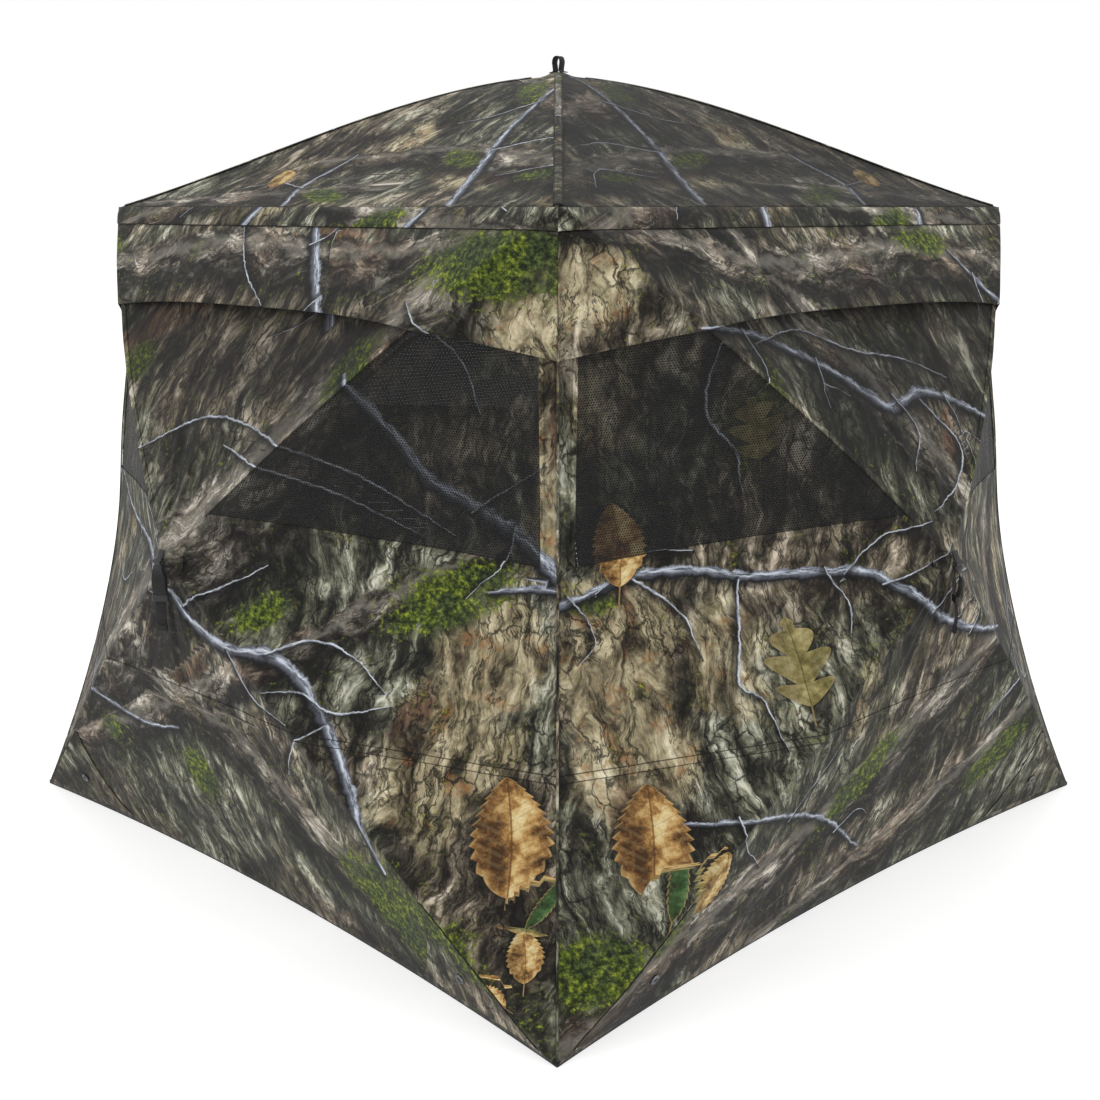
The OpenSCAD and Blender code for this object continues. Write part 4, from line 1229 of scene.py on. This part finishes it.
def seam_strips(panel):
    """Every stitched seam of one wall, as one piece."""
    share = np.linspace(0.0, 1.0, 150)
    lines = [(SEAM_LEVEL + 0 * share, mix(-1.995, 1.995, share), 0.0075, 0.0010)]
    rising = mix(SILL_LEVEL + 0.004, 0.985, share)
    for side in (-1, 1):
        has_window = panel != DOOR_WALL or side < 0
        if has_window:
            lines.append((SILL_LEVEL + 0 * share, side * mix(1.01, 1.99, share), 0.006, 0.0010))
            lines.append((rising, side * (1 - 0.007 / np.maximum(crease(rising, panel)[0], 0.02)),
                          0.007, 0.0012))
            lines.append((rising, side * (1 + window_shares(rising) + 0.004), 0.004, 0.0012))
    points, faces, places, stitches = [], [], [], []
    start = 0
    for level, station, half_width, off in lines:
        upward = station[-1] + 10 * level[-1] >= station[0] + 10 * level[0]
        order = slice(None) if upward else slice(None, None, -1)
        place, stitch = surface_strip(panel, level[order], station[order], half_width, off)
        rows, columns = place.shape[:2]
        points.append(from_wall(place, panel).reshape(-1, 3))
        places.append(place[..., :2].reshape(-1, 2))
        stitches.append(stitch.reshape(-1, 3))
        faces += [tuple(start + i for i in face) for face in grid_faces(rows, columns)]
        start += rows * columns
    places = np.concatenate(places)
    fields = print_fields(PRINTS[panel], places)
    fields["stitch"] = np.concatenate(stitches)
    piece = make_object(WALLS[panel] + "_seams", np.concatenate(points), faces, [CAMOUFLAGE],
                        uvs=places + np.array([WALL_SHIFT * panel, 0.0]), fields=fields)
    bend_with_hub(piece, panel)


def corner_piping(panel):
    """The raised seam down one corner, between this wall and the next one round."""
    level = np.linspace(0.006, 0.985, 90)
    path = from_wall(wall_place(panel, level, 2.0 + 0 * level, 0.0), panel)
    tangent = directions(path)
    out = turn(np.array([1.0, -1.0, 0.0]) / math.sqrt(2), panel)
    side = np.cross(tangent, out)
    out = np.cross(side, tangent)
    points, faces = sweep(path, side, out, disc_outline(0.0022, 8))
    xy = np.stack([points @ np.array([0.7, 0.7, 0]), points[:, 2]], -1)
    piece = make_object(f"corner_piping_{panel}", points, faces, [CAMOUFLAGE], uvs=xy + 2.0,
                        fields=print_fields(PRINTS[panel], xy + 5.0))
    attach(piece, "canopy")


# ---------- hem, corner patches and eyelets ----------

HEM_HEIGHT = 0.0092
HEM_THICK = 0.0040


def hem():
    """Binding folded round the bottom edge."""
    parts = []
    x = np.linspace(-base_half + 0.0005, base_half - 0.0005, 120)
    inward = BASE_SAG * (1 - (x / base_half) ** 2)
    path = np.stack([x, -base_half + inward + HEM_THICK / 2 - 0.0012, 0 * x + HEM_HEIGHT / 2], -1)
    tangent = directions(path)
    up = np.tile([0.0, 0.0, 1.0], (len(x), 1))
    inside = np.cross(up, tangent)
    for panel in range(4):
        outline = rounded(HEM_THICK, HEM_HEIGHT, 0.0018)
        parts.append(sweep(turn(path, panel), turn(-inside, panel), up, outline))
    points, faces = joined(parts)
    piece = make_object("hem_cloth", points, faces, [BINDING])
    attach(piece, "canopy")
    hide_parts("hem_binding")


PATCH_LOW = 0.012
PATCH_HIGH = 0.15


def corner_patch(panel, side):
    level = np.linspace(PATCH_LOW, PATCH_HIGH, 50)[:, None]
    inner = mix(0.6, 0.97, (level - PATCH_LOW) / (PATCH_HIGH - PATCH_LOW))
    station = mix(inner, 0.985, np.linspace(0, 1, 72)[None, :]) * side
    station = station[:, ::side]
    points, place = wall_points(panel, level + 0 * station, station, 0.0022)
    keep = np.ones((len(level) - 1, station.shape[1] - 1), bool)
    keep = without_eyelets(panel, place, keep, PATCH_CUTOUT)
    moved = shifted(PRINTS[panel], 0.11, 0.06)
    name = hand_name(panel, "patch", side)
    piece = cloth(name, points, place, moved, [CAMOUFLAGE, BACKING], WALL_SHIFT * panel + 0.7, keep)
    bend_with_hub(piece, panel)
    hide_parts("corner_patches")


def eyelet(panel, side):
    """A rolled ring with a barrel through the patch and a washer behind it."""
    profile = [(0.0048, 0.0012), (0.0052, 0.0030), (0.0062, 0.0036), (0.0078, 0.0030), (0.0096, 0.0014),
               (0.0100, 0.0006), (0.0096, 0.0002), (0.0066, 0.0002), (0.0066, -0.0050), (0.0096, -0.0056),
               (0.0098, -0.0066), (0.0052, -0.0070), (0.0048, -0.0050)]
    steps = 40
    place = eyelet_place(panel, side)
    step = 0.01
    right = wall_place(panel, EYELET_LEVEL, EYELET_STATION * side + step) - wall_place(
        panel, EYELET_LEVEL, EYELET_STATION * side - step)
    right /= np.linalg.norm(right)
    out = np.cross(right, wall_place(panel, EYELET_LEVEL + step, EYELET_STATION * side)
                   - wall_place(panel, EYELET_LEVEL - step, EYELET_STATION * side))
    out /= np.linalg.norm(out)
    up = np.cross(out, right)
    angles = np.arange(steps) * 2 * math.pi / steps
    rings = [place + r * (np.cos(angles)[:, None] * right + np.sin(angles)[:, None] * up) + h * out
             for r, h in profile]
    points = from_wall(np.array(rings), panel).reshape(-1, 3)
    faces = [face[:1] + face[:0:-1] for face in torus_faces(len(profile), steps)]
    name = hand_name(panel, "eyelet", side)
    piece = make_object(name, points, faces, [EYELET])
    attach(piece, "canopy")
    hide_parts("grommets")


# ---------- roof ----------

HUB_HOLE = 0.05


def gore(panel):
    t = np.linspace(0.012, 0.9995, 74)[:, None]
    station = np.linspace(-1, 1, 141)[None, :]
    place = gore_place(t + 0 * station, station + 0 * t)
    up = (1 - t) * 0.726 + 0 * station
    x = place[..., 0]
    seed = 61 + panel
    ripple = 0.0022 * value_noise(5 * x, 6 * up, seed) + 0.0012 * value_noise(14 * x, 9 * up, seed + 1)
    spokes = 0.0030 * value_noise(7 * station + 30, 3 * t, seed + 2) * np.exp(-t / 0.22)
    pucker = 0.0018 * value_noise(34 * x, 4 * up, seed + 3) * np.exp(-up / 0.03)
    fade = (1 - station ** 8) * smooth(t, 0.0, 0.06) * smooth(1 - t, 0.0, 0.02)
    sag = -0.010 * (1 - station ** 2) * smooth(t, 0.15, 0.6) * smooth(1 - t, 0.0, 0.3)
    place[..., 2] += (ripple + spokes + pucker) * fade + sag
    points = turn(place, panel)[::-1]
    xy = np.stack([x, up], -1)[::-1]
    # Painted shade: each gore's print is darkened by its own amount, the right gore most, standing in for
    # light that falls more from the left.
    piece = cloth(f"roof_gore_{WALLS[panel]}", points, xy, ROOF_PRINTS[panel], [CAMOUFLAGE, BACKING],
                  20.0 + WALL_SHIFT * panel, shade=(0.05, 0.62, 0.2, 0.2)[panel])
    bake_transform(piece)
    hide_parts("roof_skin")


def roof_seam(corner):
    """The folded seam over one roof pole, doubled cloth with a stitch line each side."""
    t = np.linspace(0.06, 0.988, 110)
    place = gore_place(t, 1.0 + 0 * t)
    place[:, 2] += 0.0008
    path = turn(place, corner)
    tangent = directions(path)
    flat_across = unit(np.cross(tangent, [0.0, 0.0, 1.0]))
    up = np.cross(flat_across, tangent)
    fall = math.tan(0.20)
    outline = [(0.0085, -0.0085 * fall), (0.0080, 0.0012 - 0.0085 * fall), (0.0, 0.0018),
               (-0.0080, 0.0012 - 0.0085 * fall), (-0.0085, -0.0085 * fall), (0.0, -0.0006)]
    points, faces = sweep(path, flat_across, up, outline)
    count = len(outline)
    run = np.repeat(lengths_along(path), count)
    across = np.tile([o[0] for o in outline], len(path))
    xy = np.stack([run, across + 0.35], -1)
    fields = print_fields(shifted(PRINT_ROOF, 0.2, 0.1), xy)
    fields["stitch"] = np.stack([run, across, np.ones(len(run))], -1)
    piece = make_object(f"roof_seam_{corner}", points, faces, [CAMOUFLAGE],
                        uvs=xy + np.array([40.0 + corner, 0.0]), fields=fields)
    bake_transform(piece)


# ---------- hubs: cloth domes, straps and the roof loop ----------

def hub_frame(panel):
    """Origin and axes of a hub's frame at the fabric's peak: across, up the panel, outwards."""
    if panel == 4:
        return np.array([0, 0, peak_height]), np.eye(3)
    origin = from_wall(np.array([0.0, hub_up, WALL_POP]), panel)
    zero = from_wall(np.zeros(3), panel)
    axes = np.array([from_wall(a, panel) - zero for a in np.eye(3)])
    return origin, axes


def in_hub(panel, places):
    origin, axes = hub_frame(panel)
    return origin + np.asarray(places, float) @ axes


DOME_RADIUS = 0.042
DOME_HEIGHT = 0.0078


def hub_dome(panel):
    """A low swelling of the printed cloth over the hub's outer cap, its rim under the cloth."""
    name = "roof" if panel == 4 else WALLS[panel]
    radii = np.concatenate([[0.0001], np.linspace(0.003, DOME_RADIUS, 15)])
    steps = 96
    angles = np.arange(steps) * 2 * math.pi / steps
    places = []
    for radius in radii:
        x, y = radius * np.cos(angles), radius * np.sin(angles)
        if panel == 4:
            base = gore_place(np.maximum(np.abs(x), np.abs(y)) / roof_half, 0 * x)[:, 2] - peak_height
        else:
            slope = np.where(y > 0, (1 - HUB_SHARE) * slant / roof_half, hub_up / base_half)
            beyond = np.maximum(np.abs(x) - np.abs(y) / slope, 0.0)
            base = crease(HUB_SHARE + y / slant, panel)[2] - WALL_POP - beyond * 0.30
        swell = DOME_HEIGHT * math.cos(math.pi / 2 * min(radius / DOME_RADIUS, 1)) ** 2
        places.append(np.stack([x, y, np.maximum(base, -0.010) * smooth(radius, 0.0, 0.03) + swell + 0.0006
                                - 0.0022 * smooth(radius, DOME_RADIUS - 0.006, DOME_RADIUS)], -1))
    places = np.array(places)
    flat = places.reshape(-1, 3)
    points = in_hub(panel, flat)
    faces = [f[::-1] for f in grid_faces(len(radii), steps, wrap=True)]
    faces.append(tuple(range(steps)))
    if panel == 4:
        xy = np.stack([flat[:, 0], 0.70 - np.abs(flat[:, 1])], -1)
        design, shift = ROOF_PRINTS[0], 20.0
    else:
        xy = flat[:, :2] + np.array([0.0, hub_up])
        design, shift = PRINTS[panel], WALL_SHIFT * panel
    piece = make_object(name + "_hub_dome", points, faces, [CAMOUFLAGE],
                        uvs=xy + np.array([shift, 0.0]), fields=print_fields(design, xy))
    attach(piece, name + "_hub")
    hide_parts(name + "_hub_cap")


def strap_axes(panel):
    """The strap hangs plumb from its bar: across, up and away from the wall."""
    across = turn(np.array([1.0, 0.0, 0.0]), panel)
    away = turn(np.array([0.0, -1.0, 0.0]), panel)
    return across, np.array([0.0, 0.0, 1.0]), away


BAR_UP = -0.004
BAR_OUT = 0.013
STRAP_TURNS = (40, 43, -18, 14)
WEBBING_HALF = 0.0125
TAIL_HALF = 0.0100


def band(path, half_width, thickness):
    """A flat woven band along a path of (y, z) places, its width across X."""
    path = np.asarray(path, float)
    tangent = directions(path)
    across = np.tile([1.0, 0.0, 0.0], (len(path), 1))
    lift = np.stack([0 * tangent[:, 0], -tangent[:, 1], tangent[:, 0]], -1)
    middle = np.stack([0 * path[:, 0], path[:, 0], path[:, 1]], -1)
    return sweep(middle, across, lift, rounded(2 * half_width, thickness, thickness * 0.4))


def arc(cy, cz, radius, start, end, steps=14):
    angles = np.radians(np.linspace(start, end, steps))
    return [(cy + radius * math.sin(a), cz + radius * math.cos(a)) for a in angles]


def pull_strap(panel):
    """Doubled webbing from the hub's bar, a keeper, and a tail hanging below it."""
    name = WALLS[panel]
    loop = arc(0, 0, 0.0042, -150, 150, 20)
    down_back = [(-0.012, -0.0030), (-0.030, -0.0050), (-0.050, -0.0045), (-0.062, -0.0018)]
    down_front = [(-0.012, 0.0034), (-0.030, 0.0062), (-0.050, 0.0056), (-0.062, 0.0018)]
    path = down_back[::-1] + loop + down_front
    fine = resample(path, 0.0016)
    parts = [band(fine, WEBBING_HALF, 0.0017)]
    tail = [(-0.060, -0.0002), (-0.075, 0.0004), (-0.095, 0.0026), (-0.115, 0.0014), (-0.1275, -0.0016)]
    parts.append(band(resample(tail, 0.0016), TAIL_HALF, 0.0019))
    fold = [(-0.1165, 0.0035), (-0.1275, 0.0012), (-0.1285, -0.0002), (-0.1275, -0.0030),
            (-0.1175, -0.0004)]
    parts.append(band(resample(fold, 0.0008), TAIL_HALF, 0.0015))
    points, faces = joined(parts)
    webbing = place_strap(panel, name + "_strap_webbing", points, faces, WEBBING)
    outline = np.array(rounded(0.0310, 0.0090, 0.0035, 5))
    inner = np.array(rounded(0.0262, 0.0046, 0.0018, 5))
    rows = []
    for y, grow in ((-0.0600, -0.0010), (-0.0606, 0.0), (-0.0724, 0.0), (-0.0730, -0.0010)):
        rows.append((y, outline + np.sign(outline) * grow))
    for y, grow in ((-0.0730, 0.0004), (-0.0600, 0.0004)):
        rows.append((y, inner + np.sign(inner) * grow))
    count = len(outline)
    places = np.concatenate([np.stack([o[:, 0], np.full(count, y), o[:, 1]], -1) for y, o in rows])
    keeper = place_strap(panel, name + "_strap_keeper", places, torus_faces(len(rows), count), NYLON)
    for piece in (webbing, keeper):
        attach(piece, name + "_pull_strap")
    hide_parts(name + "_pull_strap")


def place_strap(panel, name, points, faces, material):
    origin = in_hub(panel, [0, BAR_UP, BAR_OUT])
    across, up, away = strap_axes(panel)
    points = np.array(points, float)
    angle = math.radians(STRAP_TURNS[panel]) * smooth(-points[:, 1], 0.004, 0.032)
    c, s = np.cos(angle), np.sin(angle)
    points = np.stack([c * points[:, 0] + s * points[:, 2], points[:, 1],
                       c * points[:, 2] - s * points[:, 0]], -1)
    world = origin + points[:, :1] * across + points[:, 1:2] * up + points[:, 2:] * away
    return make_object(name, world, faces, [material])


def resample(path, step):
    """Evenly spaced points on a smooth line through a path of (y, z) places."""
    line = smooth_line([(y, z, 0.0) for y, z in path], 0.0006)[:, :2]
    run = lengths_along(line)
    keep = np.concatenate([[True], np.diff(run) > 1e-7])
    line, run = line[keep], run[keep]
    at = np.linspace(0, run[-1], max(3, int(run[-1] / step)))
    return np.stack([np.interp(at, run, line[:, k]) for k in (0, 1)], -1)


def strap_anchor(panel):
    """The sewn-down tab that holds the strap's bar to the dome, and its bar."""
    name = WALLS[panel]
    path = [(0.019, 0.0078), (0.012, 0.0092), (0.004, 0.0108), (-0.001, 0.0150), (-0.005, 0.0160),
            (-0.0085, 0.0138), (-0.008, 0.0100), (-0.014, 0.0088), (-0.021, 0.0074)]
    points, faces = band(resample(path, 0.0012), 0.0085, 0.0015)
    bar_path = np.linspace([-0.0165, BAR_UP, BAR_OUT], [0.0165, BAR_UP, BAR_OUT], 4)
    bar = sweep(bar_path, np.tile([0.0, 1.0, 0.0], (4, 1)), np.tile([0.0, 0.0, 1.0], (4, 1)),
                disc_outline(0.0019))
    piece = make_object(name + "_strap_tab", in_hub(panel, points), faces, [WEBBING])
    rod = make_object(name + "_strap_bar", in_hub(panel, bar[0]), bar[1], [NYLON])
    for o in (piece, rod):
        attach(o, name + "_hub")


def roof_loop():
    """A standing loop of webbing on the roof's hub, its ends sewn down side by side."""
    path = [(-0.020, 0.0072), (-0.012, 0.0084), (-0.0085, 0.0105), (-0.0095, 0.0190), (-0.0110, 0.0290),
            (-0.0075, 0.0372), (0.0, 0.0398), (0.0075, 0.0372), (0.0110, 0.0290), (0.0095, 0.0190),
            (0.0085, 0.0105), (0.012, 0.0084), (0.020, 0.0072)]
    points, faces = band(resample(path, 0.0016), 0.0078, 0.0024)
    # The band's width lies along Y, so that the loop's opening faces the front.
    points = np.stack([points[:, 1], points[:, 0], points[:, 2]], -1)
    faces = [f[::-1] for f in faces]
    piece = make_object("roof_loop_webbing", in_hub(4, points), faces, [WEBBING])
    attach(piece, "roof_hub")
    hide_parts("roof_pull_loop")


# ---------- poles ----------

CORNERS = ((1, 1), (-1, 1), (-1, -1), (1, -1))
WALL_POLES = ("_pole_upper_right", "_pole_upper_left", "_pole_lower_left", "_pole_lower_right")
ROOF_POLES = ("_pole_right_back", "_pole_left_back", "_pole_left_front", "_pole_right_front")


def panel_point(panel, places):
    if panel == 4:
        return np.asarray(places, float) + np.array([0, 0, eave_height])
    return from_wall(np.asarray(places, float), panel)


def pole(panel, i):
    """One pole: moulded end fitting on the hub's pin, bowed rod and tip cap."""
    roof = panel == 4
    sx, sy = CORNERS[i]
    pop = roof_pop if roof else WALL_POP
    hub = np.array([0.0, 0.0 if roof else hub_up])
    if roof:
        end = np.array([sx, sy]) * roof_half
    else:
        end = np.array([sx * (roof_half if sy > 0 else base_half), slant if sy > 0 else 0.0])
    aim = end - hub
    reach_out = np.linalg.norm(aim)
    heading = np.append(aim / reach_out, 0.0)
    run = reach_out - TIP_INSET - PIN_CIRCLE
    fall = pop - HUB_DROP + TIP_DEPTH
    length = math.hypot(run, fall)
    ahead = (heading * run - np.array([0, 0, fall])) / length
    rise = np.cross(np.cross(ahead, [0, 0, 1.0]), ahead)
    rise /= np.linalg.norm(rise)
    beside = np.cross(rise, ahead)
    start = np.append(hub, pop - HUB_DROP) + heading * PIN_CIRCLE
    bow = ROOF_POLE_BOW if roof else UPPER_BOW if sy > 0 else LOWER_BOW
    if panel == DOOR_WALL:
        bow = 0.0
    x = np.linspace(0.0, length - 0.006, 72)
    height = 4 * bow * (x / length) * (1 - x / length)
    line = start + x[:, None] * ahead + height[:, None] * rise
    tangent = directions(line)
    side = np.tile(beside, (len(x), 1))
    lift = np.cross(side, tangent)

    def tube(low, high, radii):
        """A round tube between two distances along the pole."""
        at = np.linspace(low, high, len(radii))
        centre, s, u = (np.stack([np.interp(at, x, values[:, k]) for k in range(3)], -1)
                        for values in (line, side, lift))
        outline = disc_outline(1.0, 14)
        return capped_tube(centre[:, None] + np.array(radii)[:, None, None] * (
            s[:, None] * outline[None, :, :1] + u[:, None] * outline[None, :, 1:]))

    name = ("roof" + ROOF_POLES[i]) if roof else WALLS[panel] + WALL_POLES[i]
    rod = tube(0.036, length - 0.010, [POLE_RADIUS] * 60)
    sleeve = tube(0.016, 0.048, [0.0056, 0.0065, 0.0065, 0.0062, 0.0065, 0.0062, 0.0065, 0.0052])
    cap = tube(length - 0.034, length - 0.0065, [0.0054, 0.0064, 0.0065, 0.0065, 0.0064, 0.0060, 0.0050,
                                                 0.0026])
    t0 = tangent[0]
    boss = sweep([start - beside * 0.0055, start + beside * 0.0055], np.tile(t0, (2, 1)),
                 np.tile(np.cross(beside, t0) * -1, (2, 1)), disc_outline(0.007, 20))
    neck = sweep([start + t0 * 0.004, start + t0 * 0.018], np.tile(beside, (2, 1)),
                 np.tile(np.cross(beside, t0), (2, 1)), rounded(0.0104, 0.0098, 0.002))
    parts = [(rod, 0), (sleeve, 1), (cap, 1), (boss, 1), (neck, 1)]
    points, faces = joined([p for p, _ in parts])
    kinds = [kind for (_, f), kind in parts for _ in f]
    piece = make_object(name + "_flexed", panel_point(panel, points), faces, [FIBREGLASS, NYLON],
                        face_materials=kinds)
    soften(piece, 0.0008, 1)
    low = np.append(hub, -TIP_DEPTH)
    high = np.append(hub, pop - HUB_DROP)
    panel_point(panel, low)
    panel_point(panel, high)
    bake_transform(piece)
    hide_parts(name)


# ---------- the door ----------

TOOTH_PITCH = 0.0042


def door_grid(low, high, rows, left, right, columns, off=0.0, crinkled=True):
    level = np.linspace(low, high, rows)
    share = mix(left(level)[:, None], right(level)[:, None], np.linspace(0, 1, columns)[None, :])
    return wall_points(DOOR_WALL, level[:, None] + 0 * share, 1 + share, off, crinkled=crinkled)


def door_line(index, inset=0.0):
    def share(level):
        return door_shares(level)[index] + inset / facet_width(level)
    return share


def make_door():
    """The door's cloth, its hinge tape, the draft flaps round it and its zips."""
    points, place = door_grid(DOOR_LOW + 0.004, DOOR_HIGH - 0.004, 110, door_line(0, 0.001),
                              door_line(1, -0.0015), 60)
    panel = cloth("door_cloth", points, place, PRINTS[DOOR_WALL], [CAMOUFLAGE, BACKING],
                  WALL_SHIFT * DOOR_WALL)
    # The straight hinge line and the way inwards square to it are worked out, but not used.
    low, middle, high = (wall_points(DOOR_WALL, v, 1 + door_shares(np.array([v]))[1][0], crinkled=False)[0]
                         for v in (0.2, 0.5, 0.8))
    axis = (high - low) / np.linalg.norm(high - low)
    inwards = wall_points(DOOR_WALL, 0.5, 1 + door_shares(np.array([0.5]))[1][0] - 0.12,
                          crinkled=False)[0] - middle
    inwards -= (inwards @ axis) * axis
    inwards /= np.linalg.norm(inwards)
    middle + 0.045 * inwards
    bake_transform(panel)
    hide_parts("door_panel")

    points, place = door_grid(DOOR_LOW + 0.004, DOOR_HIGH - 0.004, 110, door_line(1, 0.0008),
                              door_line(2, -0.0008), 5, 0.0006)
    tape = cloth("door_hinge_cloth", points, place, PRINTS[DOOR_WALL], [WEBBING, WEBBING])
    middle - HINGE_TAPE * inwards
    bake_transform(tape)
    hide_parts("door_hinge_tape")

    # A flap sewn to the cloth behind the two zips keeps light and wind out.
    for low, high, name in ((DOOR_LOW, HUB_SHARE - 0.012, "lower"), (HUB_SHARE + 0.012, DOOR_HIGH,
                                                                     "upper")):
        points, place = door_grid(low, high, 50, door_line(0, -0.004), door_line(0, 0.050), 8, -0.0035)
        flap = cloth(f"door_flap_{name}", points, place, PRINTS[DOOR_WALL], [BACKING, BACKING])
        bend_with_hub(flap, DOOR_WALL)
        points, place = door_grid(low + 0.005, high - 0.002, 60, door_line(0, -0.012), door_line(0, 0.006),
                                  5, 0.0008)
        zip_tape = cloth(f"door_zip_tape_{name}", points, place, PRINTS[DOOR_WALL], [WEBBING, WEBBING],
                         thickness=0.001)
        bend_with_hub(zip_tape, DOOR_WALL)
        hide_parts("door_zip_tapes")
        level = np.linspace(low + 0.006, high - 0.003, int((high - low) * slant / TOOTH_PITCH))
        share = door_line(0, -0.0015)(level)
        line, _ = wall_points(DOOR_WALL, level, 1 + share, 0.0024)
        ahead = directions(line)
        out = unit(np.cross(ahead, np.cross(turn(np.array([0.0, -1.0, 0.3]), DOOR_WALL), ahead)))
        side = np.cross(ahead, out)
        parts = []
        for number, (p, a, o, s) in enumerate(zip(line, ahead, out, side)):
            hand = 1 if number % 2 else -1
            path = [p + s * 0.0004 * hand - a * 0.0011, p + s * 0.0004 * hand + a * 0.0011]
            parts.append(sweep(path, [s, s], [o, o], rounded(0.0046, 0.0017, 0.0004, 1)))
        points, faces = joined(parts)
        teeth = make_object(f"door_zip_teeth_{name}", points, faces, [ZIP_METAL])
        bend_with_hub(teeth, DOOR_WALL)


# ---------- everything, piece by piece ----------

for wall in range(4):
    wall_cloth(wall)
    seam_strips(wall)
    brow(wall)
    eave_band(wall)
    corner_piping(wall)
    gore(wall)
    roof_seam(wall)
    pull_strap(wall)
    strap_anchor(wall)
    for hand in (-1, 1):
        if wall != DOOR_WALL or hand < 0:
            window(wall, hand)
        corner_patch(wall, hand)
        eyelet(wall, hand)
for hub in range(5):
    hub_dome(hub)
    for corner in range(4):
        pole(hub, corner)
hem()
roof_loop()
make_door()

# The CAD model's own shapes are shown for these nodes, by the ending of their names.
SHOWN_MATERIALS = {"core": (NYLON, "moulded_nylon"), "pins": (STEEL, "steel_pin"),
                   "slider": (ZIP_METAL, "zip_metal"), "pockets": (WEBBING, "black_webbing")}
for name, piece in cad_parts.items():
    if piece.hide_render:
        continue
    for ending, (material, slot_name) in SHOWN_MATERIALS.items():
        if name.endswith(ending):
            piece.data.materials.clear()
            piece.data.materials.append(material)
            soften(piece, 0.0006, 2)

# ---------- floor, light and camera ----------

bpy.ops.mesh.primitive_plane_add(size=60)
floor = bpy.context.object
floor.name = "floor"
floor.data.materials.append(pale_floor())

world = bpy.data.worlds.new("studio")
bpy.context.scene.world = world
world.use_nodes = True
background = world.node_tree.nodes["Background"].inputs
background["Color"].default_value = (1.0, 1.0, 1.0, 1.0)
background["Strength"].default_value = 1.0


def soft_light(name, place, target, size, power):
    data = bpy.data.lights.new(name, "AREA")
    data.size = size
    data.energy = power
    lamp = bpy.data.objects.new(name, data)
    lamp.location = place
    lamp.rotation_euler = (Vector(target) - Vector(place)).to_track_quat("-Z", "Y").to_euler()
    bpy.context.scene.collection.objects.link(lamp)


soft_light("overhead", (0.5, -0.5, 4.5), (-0.2, 0.2, 0.8), 3.5, 30)
soft_light("front_left", (-1.5, -4.8, 2.6), (0, 0, 0.8), 2.5, 40)
soft_light("front_right", (4.8, 1.5, 2.6), (0, 0, 0.8), 2.5, 16)

CAMERA_LENS = 49.19
CAMERA_AWAY = 3.344
CAMERA_UP = 1.331
CAMERA_AZIMUTH = math.radians(45)
CAMERA_DIP = math.radians(12.85)
CAMERA_SWING = math.radians(0.305)
camera_data = bpy.data.cameras.new("camera")
camera_data.lens = CAMERA_LENS
camera_data.sensor_width = 36.0
camera = bpy.data.objects.new("camera", camera_data)
bpy.context.scene.collection.objects.link(camera)
camera.location = (CAMERA_AWAY * math.sin(CAMERA_AZIMUTH), -CAMERA_AWAY * math.cos(CAMERA_AZIMUTH),
                   CAMERA_UP)
camera.rotation_euler = (math.pi / 2 - CAMERA_DIP, 0.0, CAMERA_AZIMUTH + CAMERA_SWING)
bpy.context.scene.camera = camera
bpy.context.scene.view_settings.view_transform = "Standard"
